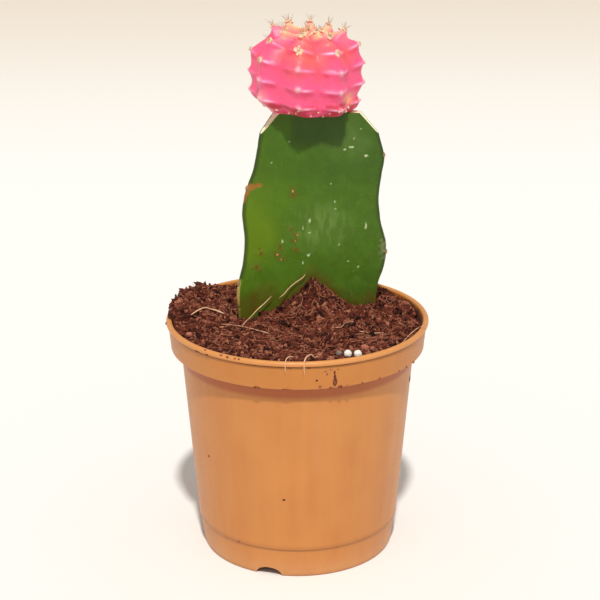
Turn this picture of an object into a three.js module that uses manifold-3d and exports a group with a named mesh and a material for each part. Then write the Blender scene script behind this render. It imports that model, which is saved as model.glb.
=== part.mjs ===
// A grafted moon cactus in its nursery pot: a pink ribbed globe on a three-angled green stem, standing
// in coarse brown soil. Millimetres, +Z up, the origin on the ground under the middle of the pot.
// Seen from the front, -Y is towards the eye and +X is to the right.

import * as THREE from 'three';
import { mergeVertices } from 'three/addons/utils/BufferGeometryUtils.js';
import Module from 'manifold-3d';

const wasm = await Module();
wasm.setup();

// Pot: one thin moulded shell.
const POT_HEIGHT = 78.3;
const RIM_RADIUS = 42.5;
const LIP_ROUND = 0.95;
const COLLAR_TOP_RADIUS = 41.8;
const COLLAR_FOOT_RADIUS = 41.1;
const COLLAR_BOTTOM = 68.8;
const COLLAR_ROUND = 0.4;
const WALL_TOP_RADIUS = 37.92;
const STEP_RADIUS = 33.0;
const STEP_HEIGHT = 10.1;
const STEP_DEPTH = 0.35;
const FOOT_RADIUS = 31.3;
const WALL = 1.1;
const FOOT_WIDTH = 1.6;
const BASE_UNDERSIDE = 2.9;
const BASE_THICKNESS = 1.2;
const ROUND_SEGMENTS = 56;
const NOTCHES = 3;
const NOTCH_WIDTH = 8.6;
const NOTCH_HEIGHT = 2.4;
const FIRST_NOTCH_AZIMUTH = -17.5;
const DRAIN_HOLES = 6;
const DRAIN_HOLE_RADIUS = 3.0;
const DRAIN_CIRCLE_RADIUS = 20;

// Gap between pieces that touch.
const GAP = 0.3;

// Soil: the level at its middle, and how much it falls to the right for each millimetre.
const SOIL_LEVEL = 75.7;
const SOIL_FALL = 0.013;
// The heap on the left, which runs over the lip: how high it rises, the azimuth and the radius of its
// top, and how far it spreads round the pot (degrees) and across it.
const HEAP = { rise: 5.0, azimuth: 161, radius: 40, spread: 30, width: 8.5 };
// How far in from its edge the heap starts to fall to the lip.
const HEAP_EDGE = 1.8;
// The mound against the stem's face, which falls off faster on its right.
const MOUND = { rise: 10.5, x: 4.8, y: 15, left: 5.5, right: 5, depth: 11 };
// Smaller rises and dips: each has its height, its place and how far it spreads.
const SWELLS = [
  { name: 'right foot', rise: 1.2, x: 25, y: 15, width: 6, depth: 7 },
  { name: 'right shoulder', rise: 3.6, x: 11.5, y: 13, width: 4.5, depth: 9 },
  { name: 'left shoulder', rise: 2.2, x: -4.5, y: 13, width: 4.5, depth: 8 },
  { name: 'back bank', rise: 2.2, x: 31, y: 28, width: 9, depth: 9 },
  { name: 'right bank', rise: 2.0, x: 38, y: 13, width: 5, depth: 8 },
  { name: 'left dip', rise: -2.6, x: -17, y: 7, width: 6, depth: 7 },
  { name: 'left edge', rise: -1.2, x: -37, y: -13, width: 5, depth: 8 },
  { name: 'front bank', rise: 0.8, x: 0, y: -38, width: 60, depth: 9 },
];
// Clods: height and size of the coarse and of the fine ones.
const CLODS = [{ rise: 0.85, size: 3.4 }, { rise: 0.45, size: 2.1 }];
// The grid that the relief is drawn on, and the crumbs that lie loose on it.
const SOIL_GRID = 2.6;
const CRUMBS = 64;
const HEAP_CRUMBS = 34;

// Stock: the green stem. Its ribs run out from an upright core at these angles from +X.
const STEM_CENTRE = new THREE.Vector2(1.6, 20);
const GRAFT_HEIGHT = 142.5;
// The graft is cut level from front to back, and falls to the right by this many degrees.
const GRAFT_TILT = 3;
const BURIED_FOOT = 50;
const FOOT_REACH = 7;
const RIB_TIP_ROUND = 1.15;
const RIB_ROOT_HALF = 2.9;
const FACE_RADIUS = 7.2;

// Scion: the pink globe on top.
const SCION_CENTRE = new THREE.Vector3(3.0, 20, 155.6);
const SCION_RADIUS = 17.7;
const SCION_UP = 11.8;
const SCION_DOWN = 15.5;
const SCION_RIBS = 8;
const FIRST_RIB_AZIMUTH = -98.6;
const AREOLE_SPACING = 6.2;

const TURN = 2 * Math.PI;
const rad = THREE.MathUtils.degToRad;
const UP = new THREE.Vector3(0, 0, 1);
const GRAFT_UP = new THREE.Vector3(Math.sin(rad(GRAFT_TILT)), 0, Math.cos(rad(GRAFT_TILT)));
const GRAFT_PLACE = new THREE.Vector3(STEM_CENTRE.x, STEM_CENTRE.y, GRAFT_HEIGHT);

// Seeded draws, the same on every run.
function makeRandom(seed) {
  let state = seed;
  return () => {
    state = (state + 0x6d2b79f5) | 0;
    let t = Math.imul(state ^ (state >>> 15), 1 | state);
    t = (t + Math.imul(t ^ (t >>> 7), 61 | t)) ^ t;
    return ((t ^ (t >>> 14)) >>> 0) / 4294967296;
  };
}

// Smooth lumpy noise between -1 and 1, from values hashed at whole numbers.
function latticeValue(i, j) {
  const s = Math.sin(i * 127.1 + j * 311.7) * 43758.5453;
  return 2 * (s - Math.floor(s)) - 1;
}

function noise(x, y) {
  const i = Math.floor(x);
  const j = Math.floor(y);
  const u = THREE.MathUtils.smoothstep(x - i, 0, 1);
  const v = THREE.MathUtils.smoothstep(y - j, 0, 1);
  const low = THREE.MathUtils.lerp(latticeValue(i, j), latticeValue(i + 1, j), u);
  const high = THREE.MathUtils.lerp(latticeValue(i, j + 1), latticeValue(i + 1, j + 1), u);
  return THREE.MathUtils.lerp(low, high, v);
}

const hump = (d, width) => Math.exp(-((d / width) ** 2));

// Closed geometry to solid and back.
function solidOf(geometry) {
  const bare = geometry.clone();
  bare.deleteAttribute('normal');
  bare.deleteAttribute('uv');
  const merged = mergeVertices(bare, 1e-4);
  const points = merged.attributes.position;
  const index = merged.index.array;
  const corner = [new THREE.Vector3(), new THREE.Vector3(), new THREE.Vector3()];
  const kept = [];
  let volume = 0;
  for (let i = 0; i < index.length; i += 3) {
    const [a, b, c] = [index[i], index[i + 1], index[i + 2]];
    if (a === b || b === c || c === a) continue;
    kept.push(a, b, c);
    corner[0].fromBufferAttribute(points, a);
    corner[1].fromBufferAttribute(points, b);
    corner[2].fromBufferAttribute(points, c);
    volume += corner[0].dot(corner[1].cross(corner[2]));
  }
  if (volume < 0) kept.reverse();
  return new wasm.Manifold(new wasm.Mesh({
    numProp: 3,
    vertProperties: new Float32Array(points.array),
    triVerts: new Uint32Array(kept),
  }));
}

function geometryOf(solid) {
  const mesh = solid.getMesh();
  const geometry = new THREE.BufferGeometry();
  geometry.setAttribute('position', new THREE.BufferAttribute(mesh.vertProperties.slice(), 3));
  geometry.setIndex(new THREE.BufferAttribute(mesh.triVerts.slice(), 1));
  geometry.computeVertexNormals();
  return geometry;
}

const union = (solids) => wasm.Manifold.union(solids);

// Only the largest body is kept, so that a boolean leaves no loose scrap behind.
function largestBody(solid) {
  return solid.decompose().sort((a, b) => b.volume() - a.volume())[0];
}

// A solid of revolution about Z from [radius, height] pairs.
function turned(profile) {
  const points = profile.map(([r, z]) => new THREE.Vector2(r, z));
  return solidOf(new THREE.LatheGeometry(points, ROUND_SEGMENTS).rotateX(Math.PI / 2));
}

// A closed skin over a stack of rings that all have the same number of points.
function skinned(rings) {
  const sides = rings[0].length;
  const points = rings.flat();
  const centreOf = (ring) => ring.reduce((s, p) => s.add(p), new THREE.Vector3()).divideScalar(sides);
  const first = points.push(centreOf(rings[0])) - 1;
  const last = points.push(centreOf(rings[rings.length - 1])) - 1;
  const index = [];
  const top = (rings.length - 1) * sides;
  for (let i = 0; i < sides; i += 1) {
    const j = (i + 1) % sides;
    index.push(first, j, i, last, top + i, top + j);
    for (let k = 0; k < rings.length - 1; k += 1) {
      const a = k * sides;
      const b = a + sides;
      index.push(a + i, a + j, b + j, a + i, b + j, b + i);
    }
  }
  const geometry = new THREE.BufferGeometry().setFromPoints(points);
  geometry.setIndex(index);
  return solidOf(geometry);
}

// A smooth height curve through [height, value] pairs.
function smoothCurve(pairs) {
  return (height) => {
    const last = pairs.length - 1;
    if (height <= pairs[0][0]) return pairs[0][1];
    if (height >= pairs[last][0]) return pairs[last][1];
    const i = pairs.findIndex(([h]) => h > height) - 1;
    const [h0, v0] = pairs[i];
    const [h1, v1] = pairs[i + 1];
    const slope = (k) => {
      const [ha, va] = pairs[Math.max(k - 1, 0)];
      const [hb, vb] = pairs[Math.min(k + 1, last)];
      return (vb - va) / (hb - ha);
    };
    const span = h1 - h0;
    const t = (height - h0) / span;
    const t2 = t * t;
    const t3 = t2 * t;
    return (2 * t3 - 3 * t2 + 1) * v0 + (t3 - 2 * t2 + t) * span * slope(i)
      + (3 * t2 - 2 * t3) * v1 + (t3 - t2) * span * slope(i + 1);
  };
}

// Pot

const LIP_CENTRE = [RIM_RADIUS - LIP_ROUND, POT_HEIGHT - LIP_ROUND];
const INSIDE_COLLAR_TOP = COLLAR_TOP_RADIUS - WALL - 0.2;
const INSIDE_COLLAR_FOOT = COLLAR_FOOT_RADIUS - WALL;
const SHELF_TOP = COLLAR_BOTTOM + WALL;
const BASE_TOP = BASE_UNDERSIDE + BASE_THICKNESS;

// Outside radius of the tapered wall at a height.
function wallRadius(z) {
  const share = (z - STEP_HEIGHT) / (COLLAR_BOTTOM - STEP_HEIGHT);
  return THREE.MathUtils.lerp(STEP_RADIUS, WALL_TOP_RADIUS, share);
}

// Points of an arc about a centre, from one angle to another in equal steps.
function arc([x, y], radius, from, to, steps) {
  return Array.from({ length: steps + 1 }, (_, i) => {
    const a = rad(THREE.MathUtils.lerp(from, to, i / steps));
    return [x + radius * Math.cos(a), y + radius * Math.sin(a)];
  });
}

function makePot() {
  const footInside = FOOT_RADIUS - FOOT_WIDTH;
  const shell = turned([
    [0, BASE_UNDERSIDE],
    [footInside, BASE_UNDERSIDE],
    [footInside, 0],
    [FOOT_RADIUS - 0.3, 0],
    [FOOT_RADIUS, 0.3],
    [wallRadius(STEP_HEIGHT) - STEP_DEPTH, STEP_HEIGHT - 0.5],
    [wallRadius(STEP_HEIGHT), STEP_HEIGHT],
    [wallRadius(COLLAR_BOTTOM - 0.6), COLLAR_BOTTOM - 0.6],
    [WALL_TOP_RADIUS + 0.6, COLLAR_BOTTOM],
    [COLLAR_FOOT_RADIUS - COLLAR_ROUND, COLLAR_BOTTOM],
    [COLLAR_FOOT_RADIUS - 0.3 * COLLAR_ROUND, COLLAR_BOTTOM + 0.3 * COLLAR_ROUND],
    [COLLAR_FOOT_RADIUS, COLLAR_BOTTOM + COLLAR_ROUND],
    [COLLAR_TOP_RADIUS, LIP_CENTRE[1] - 0.8],
    ...arc(LIP_CENTRE, LIP_ROUND, -36, 180, 6),
    [INSIDE_COLLAR_TOP, LIP_CENTRE[1] - 1.6],
    [INSIDE_COLLAR_FOOT, SHELF_TOP],
    [wallRadius(SHELF_TOP) - WALL, SHELF_TOP],
    [wallRadius(BASE_TOP) - WALL, BASE_TOP],
    [0, BASE_TOP],
  ]);
  const cuts = [];
  for (let i = 0; i < NOTCHES; i += 1) {
    const arch = new THREE.Shape();
    arch.moveTo(-NOTCH_WIDTH / 2, -1);
    arch.lineTo(NOTCH_WIDTH / 2, -1);
    arch.lineTo(NOTCH_WIDTH / 2, 0);
    arch.absellipse(0, 0, NOTCH_WIDTH / 2, NOTCH_HEIGHT, 0, Math.PI, false);
    const reach = 6;
    const cutter = new THREE.ExtrudeGeometry(arch, { depth: reach, bevelEnabled: false, curveSegments: 10 });
    cutter.rotateX(Math.PI / 2).translate(0, -FOOT_RADIUS + reach / 2, 0);
    cutter.rotateZ(rad(FIRST_NOTCH_AZIMUTH + (360 * i) / NOTCHES));
    cuts.push(solidOf(cutter));
  }
  for (let i = 0; i < DRAIN_HOLES; i += 1) {
    const hole = new THREE.CylinderGeometry(DRAIN_HOLE_RADIUS, DRAIN_HOLE_RADIUS, 4, 12);
    hole.rotateX(Math.PI / 2).translate(0, -DRAIN_CIRCLE_RADIUS, BASE_UNDERSIDE + BASE_THICKNESS / 2);
    hole.rotateZ(rad(FIRST_NOTCH_AZIMUTH + (360 * i) / DRAIN_HOLES));
    cuts.push(solidOf(hole));
  }
  return shell.subtract(union(cuts));
}

// Stock

// Each rib: the way it points, and how far its margin stands from the core at each height. The
// margins wave in and out between the areoles, and flare at the foot.
const STEM_RIBS = [
  {
    angle: 209.4,
    reach: smoothCurve([
      [74, 24.0], [84, 24.4], [93, 22.1], [101, 21.4], [110, 22.1], [117, 20.9], [124, 17.9],
      [135, 15.6], [146, 13.8],
    ]),
    bevel: { reach: 15.6, height: 135.2, slope: 46 },
  },
  {
    angle: 350.5,
    reach: smoothCurve([
      [74, 24.5], [84, 25.6], [89, 27.2], [94, 28.0], [99, 27.8], [105, 26.2], [113, 25.4],
      [121, 26.2], [127, 27.0], [135, 25.1], [146, 22.5],
    ]),
    bevel: { reach: 25.2, height: 134.6, slope: 48 },
  },
  {
    angle: 460,
    reach: smoothCurve([
      [74, 15.4], [84, 15.0], [94, 16.6], [104, 14.8], [114, 14.4], [124, 16.2], [134, 14.2], [146, 13],
    ]),
    bevel: { reach: 14.2, height: 135.5, slope: 46 },
  },
];

const along = (angle) => new THREE.Vector2(Math.cos(rad(angle)), Math.sin(rad(angle)));

// The stem's section at a height: a round-edged tip on every rib, and a hollow face between two.
function stemSection(height, grow) {
  const section = [];
  STEM_RIBS.forEach((rib, i) => {
    const next = STEM_RIBS[(i + 1) % STEM_RIBS.length];
    const wayOut = along(rib.angle);
    const side = new THREE.Vector2(-wayOut.y, wayOut.x);
    const nextWay = along(next.angle);
    const nextSide = new THREE.Vector2(nextWay.y, -nextWay.x);
    const reach = rib.reach(height) - RIB_TIP_ROUND;
    const nextReach = next.reach(height) - RIB_TIP_ROUND;
    const round = RIB_TIP_ROUND + grow;
    const root = RIB_ROOT_HALF + grow;
    const point = (way, r, out, w) => way.clone().multiplyScalar(r).addScaledVector(out, w);
    for (const tip of [-60, 0, 60]) {
      section.push(point(wayOut, reach + round * Math.cos(rad(tip)), side, round * Math.sin(rad(tip))));
    }
    const turnTo = ((next.angle - rib.angle + 720) % 360) / 2;
    const middle = along(rib.angle + turnTo).multiplyScalar(FACE_RADIUS + grow);
    const face = new THREE.SplineCurve([
      point(wayOut, reach, side, round),
      point(wayOut, reach * 0.55, side, root),
      middle,
      point(nextWay, nextReach * 0.55, nextSide, root),
      point(nextWay, nextReach, nextSide, round),
    ]);
    section.push(...face.getPoints(8));
  });
  return section.map((p) => {
    const q = p.add(STEM_CENTRE);
    return new THREE.Vector3(q.x, q.y, height);
  });
}

// The stem before its top is cut. Under the soil its foot is trimmed to a blunt point, rib by rib.
function stemBody(grow) {
  const top = GRAFT_HEIGHT + 6;
  const heights = [BURIED_FOOT - grow];
  for (let z = 74; z < top; z += 4.1) heights.push(z);
  const foot = STEM_RIBS.map(({ angle }) => {
    const way = along(angle);
    const corner = way.clone().multiplyScalar(FOOT_REACH).add(STEM_CENTRE);
    const normal = new THREE.Vector3(way.x, way.y, -1).normalize();
    const edge = new THREE.Vector3(corner.x, corner.y, BURIED_FOOT);
    return beyondPlane(edge.addScaledVector(normal, grow), normal);
  });
  return skinned(heights.map((z) => stemSection(z, grow))).subtract(union(foot));
}

// A block that fills everything beyond a plane through a point, on the side its normal points to.
function beyondPlane(point, normal) {
  const size = 80;
  const block = new THREE.BoxGeometry(size, size, size).translate(0, 0, size / 2);
  block.applyQuaternion(new THREE.Quaternion().setFromUnitVectors(UP, normal));
  return solidOf(block.translate(point.x, point.y, point.z));
}

const STEM_AREOLES = [[0, 118], [0, 86], [1, 127.6], [1, 95], [2, 124], [2, 94]];

function makeStock() {
  const cuts = STEM_RIBS.map(({ angle, bevel }) => {
    const way = along(angle);
    const corner = way.clone().multiplyScalar(bevel.reach).add(STEM_CENTRE);
    const rise = Math.sin(rad(bevel.slope));
    const normal = new THREE.Vector3(way.x * rise, way.y * rise, Math.cos(rad(bevel.slope)));
    return beyondPlane(new THREE.Vector3(corner.x, corner.y, bevel.height), normal);
  });
  cuts.push(beyondPlane(GRAFT_PLACE, GRAFT_UP));
  const stem = stemBody(0).subtract(union(cuts));
  const pads = STEM_AREOLES.flatMap(([rib, height]) => {
    const { angle, reach } = STEM_RIBS[rib];
    const way = along(angle);
    const spot = way.clone().multiplyScalar(reach(height) - 0.35).add(STEM_CENTRE);
    const place = new THREE.Vector3(spot.x, spot.y, height);
    const pad = new THREE.OctahedronGeometry(1).scale(1.0, 1.0, 1.4).translate(place.x, place.y, place.z);
    const spines = [-45, 0, 45].map((lean) => {
      const ahead = new THREE.Vector3(way.x, way.y, Math.sin(rad(lean)));
      return spine(place, ahead, 1.6, 0.28);
    });
    return [solidOf(pad), ...spines];
  });
  return largestBody(stem.add(union(pads)));
}

// A three-sided spine that stands in its root.
function spine(root, way, length, radius) {
  const cone = new THREE.ConeGeometry(radius, length, 3).translate(0, length / 2, 0);
  const turn = new THREE.Quaternion().setFromUnitVectors(new THREE.Vector3(0, 1, 0), way.clone().normalize());
  cone.applyQuaternion(turn);
  return solidOf(cone.translate(root.x, root.y, root.z));
}

// Scion

// How high on each rib its areoles start, as a length along the rib from the globe's widest line.
const RIB_STARTS = [-1.3, -1.7, -3.6, -5.3, -4.2, -2.2, -3.5, -2.0];
// How far each rib is drawn in at its shoulder, and between which heights the drawing in begins.
const RIB_SHOULDERS = [2.8, 0.8, 1.2, 0.8, -0.9, 0.9, 1.4, 1.8];
const SHOULDER_FROM = 5;
const SHOULDER_TO = 9;
// How far each rib is drawn in towards the graft, and between which depths the drawing in begins.
const RIB_KEELS = [-0.6, -0.6, 0, 0.4, 1.0, 0.6, 0, 0];
const KEEL_FROM = 5;
const KEEL_TO = 10;
// How far the globe's underside stands to the right, and between which depths it turns that way.
const SWAY = 2.2;
const SWAY_FROM = 8.5;
const SWAY_TO = 13;
// The heights between which the tubercles turn young, and stand further out.
const YOUNG_FROM = 7;
const YOUNG_TO = 11;
// The first rib's uppermost tubercle stands taller than the rest and leans in over the crown.
const TALL = { height: 9.6, spread: 0.32, depth: 3.2, rise: 2.6, inward: 1.8 };
// The lowest latitude at which a rib carries areoles.
const LOWEST_AREOLE = -44;

// Radius and height of the plain globe at a latitude: full and flat below, rounder above.
function globeProfile(latitude) {
  const c = Math.cos(latitude);
  const s = Math.sin(latitude);
  const fullness = s > 0 ? 2.7 : 3.7;
  const half = s > 0 ? SCION_UP : SCION_DOWN;
  const reach = ((c / SCION_RADIUS) ** fullness + (Math.abs(s) / half) ** fullness) ** (-1 / fullness);
  return { r: reach * c, z: reach * s };
}

// Length along the globe's profile from its widest line, at each step of latitude.
const LATITUDE_STEPS = 180;
const profileLengths = (() => {
  const lengths = [];
  for (const sign of [1, -1]) {
    let length = 0;
    let before = globeProfile(0);
    for (let i = 1; i <= LATITUDE_STEPS; i += 1) {
      const latitude = (sign * i * Math.PI) / 2 / LATITUDE_STEPS;
      const here = globeProfile(latitude * 0.9999);
      length += Math.hypot(here.r - before.r, here.z - before.z);
      before = here;
      lengths.push([latitude, sign * length]);
    }
  }
  lengths.push([0, 0]);
  return lengths.sort((a, b) => a[0] - b[0]);
})();
const lengthAtLatitude = smoothCurve(profileLengths);
const latitudeAtLength = smoothCurve(profileLengths.map(([latitude, length]) => [length, latitude]));

// Where an azimuth lies among the ribs: the nearest rib, how far off its crest (0 to 1, the furrow),
// and the areoles' start, the shoulder and the keel there, which shift evenly from rib to rib.
function amongRibs(azimuth) {
  const turns = ((azimuth - rad(FIRST_RIB_AZIMUTH)) / TURN) * SCION_RIBS;
  const place = ((turns % SCION_RIBS) + SCION_RIBS) % SCION_RIBS;
  const lower = Math.floor(place);
  const share = place - lower;
  const between = (list) => THREE.MathUtils.lerp(list[lower], list[(lower + 1) % SCION_RIBS], share);
  const off = Math.min(share, 1 - share) * 2;
  return { off, start: between(RIB_STARTS), shoulder: between(RIB_SHOULDERS), keel: between(RIB_KEELS) };
}

// A point of the scion's skin. Azimuth is from the front, turning to the right.
function scionPoint(azimuth, latitude) {
  const { r, z } = globeProfile(latitude);
  const { off, start, shoulder, keel } = amongRibs(azimuth);
  const level = lengthAtLatitude(latitude) - start;
  const fromAreole = level - Math.round(level / AREOLE_SPACING) * AREOLE_SPACING;
  const fullness = Math.min(1, r / (0.55 * SCION_RADIUS));
  const furrow = -1.9 * Math.sin((off * Math.PI) / 2) ** 2;
  const ridge = 0.4 * hump(fromAreole, 1.15) * (1 - 0.45 * off);
  const young = THREE.MathUtils.smoothstep(z, YOUNG_FROM, YOUNG_TO);
  const tubercle = (0.5 + 1.3 * young) * hump(fromAreole + 0.35, 2.0 - 0.5 * young) * hump(off, 0.55);
  const lift = (furrow + ridge + tubercle) * fullness;
  const crown = z > 0 ? Math.max(0, 1 - r / 6.5) : 0;
  const steep = Math.cos(latitude);
  const above = THREE.MathUtils.smoothstep(z, SHOULDER_FROM, SHOULDER_TO);
  const below = THREE.MathUtils.smoothstep(-z, KEEL_FROM, KEEL_TO);
  const drawnIn = (shoulder * above + keel * below) * (r / SCION_RADIUS);
  const aside = azimuth - rad(FIRST_RIB_AZIMUTH);
  const tall = hump(Math.atan2(Math.sin(aside), Math.cos(aside)), TALL.spread) * hump(z - TALL.height, TALL.depth);
  const out = r + lift * (0.35 + 0.65 * steep) - drawnIn - TALL.inward * tall;
  const up = z + lift * Math.sin(latitude) * (z > 0 ? 1 : 0) - 1.8 * crown + TALL.rise * tall;
  const sway = SWAY * THREE.MathUtils.smoothstep(-z, SWAY_FROM, SWAY_TO);
  return new THREE.Vector3(
    SCION_CENTRE.x + sway + out * Math.sin(azimuth),
    SCION_CENTRE.y - out * Math.cos(azimuth),
    SCION_CENTRE.z + up,
  );
}

const SCION_SIDES = 64;
const LATITUDES = [-57, -48, -41, -34, -28, -21, -14, -7, 1, 9, 17, 25, 33, 42, 51, 60, 70, 80];

function scionAreoles() {
  const areoles = [];
  for (let rib = 0; rib < SCION_RIBS; rib += 1) {
    const azimuth = rad(FIRST_RIB_AZIMUTH) + (rib * TURN) / SCION_RIBS;
    for (let i = -2; i <= 4; i += 1) {
      const latitude = latitudeAtLength(RIB_STARTS[rib] + i * AREOLE_SPACING);
      const { r } = globeProfile(latitude);
      if (r > 3 && latitude > rad(LOWEST_AREOLE)) areoles.push({ azimuth, latitude });
    }
  }
  return areoles;
}

function makeScion() {
  const rings = LATITUDES.map((latitude) => Array.from({ length: SCION_SIDES }, (_, i) => (
    scionPoint(rad(FIRST_RIB_AZIMUTH) + (i * TURN) / SCION_SIDES, rad(latitude))
  )));
  const random = makeRandom(11);
  const parts = [skinned(rings)];
  for (const { azimuth, latitude } of scionAreoles()) {
    const place = scionPoint(azimuth, latitude);
    const out = place.clone().sub(SCION_CENTRE).normalize();
    const side = new THREE.Vector3(Math.cos(azimuth), Math.sin(azimuth), 0);
    const rise = out.clone().cross(side).normalize();
    if (rise.z < 0) rise.negate();
    const pad = new THREE.OctahedronGeometry(1.0).translate(place.x, place.y, place.z);
    parts.push(solidOf(pad));
    const crown = latitude > rad(30);
    const count = crown ? 4 : 2;
    const length = crown ? 3.4 : 1.5;
    const root = place.clone().addScaledVector(out, -0.3);
    for (let i = 0; i < count; i += 1) {
      const round = TURN * ((i + 0.25 + 0.3 * random()) / count);
      const way = out.clone().multiplyScalar(crown ? 0.9 : 0.55);
      way.addScaledVector(side, Math.cos(round)).addScaledVector(rise, Math.sin(round));
      if (crown) way.z += 0.8;
      parts.push(spine(root, way, length * (0.85 + 0.3 * random()), 0.3));
    }
  }
  const seat = beyondPlane(GRAFT_PLACE.clone().addScaledVector(GRAFT_UP, GAP), GRAFT_UP.clone().negate());
  return largestBody(union(parts).subtract(seat));
}

// Soil

// The soil's height without its crumbs: a heap on the left that runs over the lip, a mound against
// the stem's front face, and a low right side.
function soilHeight(x, y) {
  const r = Math.hypot(x, y);
  const azimuth = THREE.MathUtils.radToDeg(Math.atan2(y, x));
  const fromHeap = ((azimuth - HEAP.azimuth + 540) % 360) - 180;
  const heap = HEAP.rise * hump(fromHeap, HEAP.spread) * hump(r - HEAP.radius, HEAP.width);
  const moundWidth = x < MOUND.x ? MOUND.left : MOUND.right;
  const mound = MOUND.rise * hump(x - MOUND.x, moundWidth) * hump(y - MOUND.y, MOUND.depth);
  const swell = (s) => s.rise * hump(x - s.x, s.width) * hump(y - s.y, s.depth);
  const swells = SWELLS.reduce((sum, s) => sum + swell(s), 0);
  const clods = CLODS.reduce((sum, c) => sum + c.rise * noise(x / c.size + 19 * c.rise, y / c.size), 0);
  const height = SOIL_LEVEL - SOIL_FALL * x + heap + mound + swells + clods;
  const lip = POT_HEIGHT + 1;
  if (height <= lip) return height;
  return lip + (height - lip) * THREE.MathUtils.smoothstep(RIM_RADIUS - r, 0, HEAP_EDGE);
}

// Everything that the soil may fill: the pot's inside less a gap, and the room above its lip.
function soilRoom() {
  const inside = (z) => wallRadius(z) - WALL - GAP;
  return turned([
    [0, BASE_TOP + GAP],
    [inside(BASE_TOP + GAP), BASE_TOP + GAP],
    [inside(SHELF_TOP + GAP), SHELF_TOP + GAP],
    [INSIDE_COLLAR_FOOT - GAP, SHELF_TOP + GAP],
    [INSIDE_COLLAR_TOP - GAP - 0.1, LIP_CENTRE[1] - 1.6],
    ...arc(LIP_CENTRE, LIP_ROUND + GAP + 0.05, 180, 100, 3),
    [RIM_RADIUS - 0.6, POT_HEIGHT + GAP + 0.1],
    [RIM_RADIUS - 0.4, POT_HEIGHT + 12],
    [0, POT_HEIGHT + 12],
  ]);
}

function soilGround() {
  const cells = Math.ceil((2 * RIM_RADIUS + 2) / SOIL_GRID);
  const half = (cells * SOIL_GRID) / 2;
  const block = new THREE.PlaneGeometry(2 * half, 2 * half, cells, cells);
  const top = block.attributes.position;
  const index = Array.from(block.index.array);
  const points = [];
  for (let i = 0; i < top.count; i += 1) {
    const x = top.getX(i);
    const y = top.getY(i);
    points.push(x, y, soilHeight(x, y));
  }
  // The rim of the sheet goes down to one point below, which closes the solid.
  const across = cells + 1;
  const edge = [];
  for (let i = 0; i < cells; i += 1) edge.push(i);
  for (let i = 0; i < cells; i += 1) edge.push(i * across + cells);
  for (let i = cells; i > 0; i -= 1) edge.push(cells * across + i);
  for (let i = cells; i > 0; i -= 1) edge.push(i * across);
  const below = points.push(0, 0, -400) / 3 - 1;
  edge.forEach((corner, i) => index.push(corner, edge[(i + 1) % edge.length], below));
  const geometry = new THREE.BufferGeometry();
  geometry.setAttribute('position', new THREE.Float32BufferAttribute(points, 3));
  geometry.setIndex(index);
  return solidOf(geometry);
}

// Loose things that lie on the soil: each has its place, size and how deep it sits.
const PEBBLES = [
  { name: 'white_bead_1', x: 15.5, y: -31.9, radius: 1.25, colour: 0xfff6ec },
  { name: 'white_bead_2', x: 18.6, y: -31.2, radius: 1.3, colour: 0xfff2e6 },
  { name: 'grey_bead', x: 12.8, y: -30.6, radius: 1.0, colour: 0x8f8078 },
  { name: 'red_grit_1', x: 21.1, y: -22.9, radius: 1.25, colour: 0xb8583c },
  { name: 'red_grit_2', x: 23.3, y: -24.3, radius: 0.7, colour: 0xa65038 },
  { name: 'red_grit_3', x: -34.5, y: -12.2, radius: 1.2, colour: 0xb05a40 },
];

const pebbleCentre = ({ x, y, radius }) => new THREE.Vector3(x, y, soilHeight(x, y) + 0.35 * radius);

function pebbleGeometry(pebble, grow) {
  const centre = pebbleCentre(pebble);
  const ball = new THREE.IcosahedronGeometry(pebble.radius + grow, 1);
  if (pebble.name.startsWith('red')) ball.scale(1.1, 0.85, 0.8);
  return ball.translate(centre.x, centre.y, centre.z);
}

function makeCrumbs() {
  const random = makeRandom(5);
  const crumbs = [];
  while (crumbs.length < CRUMBS) {
    const heaped = crumbs.length < HEAP_CRUMBS;
    const r = heaped ? 30 + 11.2 * random() : 40 * Math.sqrt(random());
    const azimuth = heaped ? rad(HEAP.azimuth + 70 * (random() - 0.5)) : TURN * random();
    const x = r * Math.cos(azimuth);
    const y = r * Math.sin(azimuth);
    const size = (heaped ? 1.1 : 0.9) + 0.9 * random();
    const from = (p) => Math.hypot(p.x - x, p.y - y);
    const nearFibre = FIBRES.some(({ points }) => points.some((p) => from(p) < size + 1.6));
    const nearPebble = PEBBLES.some((p) => from(p) < size + p.radius + 1.0);
    if (nearFibre || nearPebble) continue;
    const crumb = new THREE.IcosahedronGeometry(size, 0);
    crumb.scale(1, 0.7 + 0.3 * random(), 0.6 + 0.3 * random());
    crumb.rotateX(TURN * random()).rotateZ(TURN * random());
    crumb.translate(x, y, soilHeight(x, y) + 0.15 * size);
    crumbs.push(solidOf(crumb));
  }
  return union(crumbs);
}

function makeSoil() {
  const heaped = soilGround().add(makeCrumbs()).intersect(soilRoom());
  const dents = PEBBLES.map((pebble) => solidOf(pebbleGeometry(pebble, GAP)));
  return largestBody(heaped.subtract(stemBody(GAP + 0.05)).subtract(union(dents)));
}

// Fibres

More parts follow.
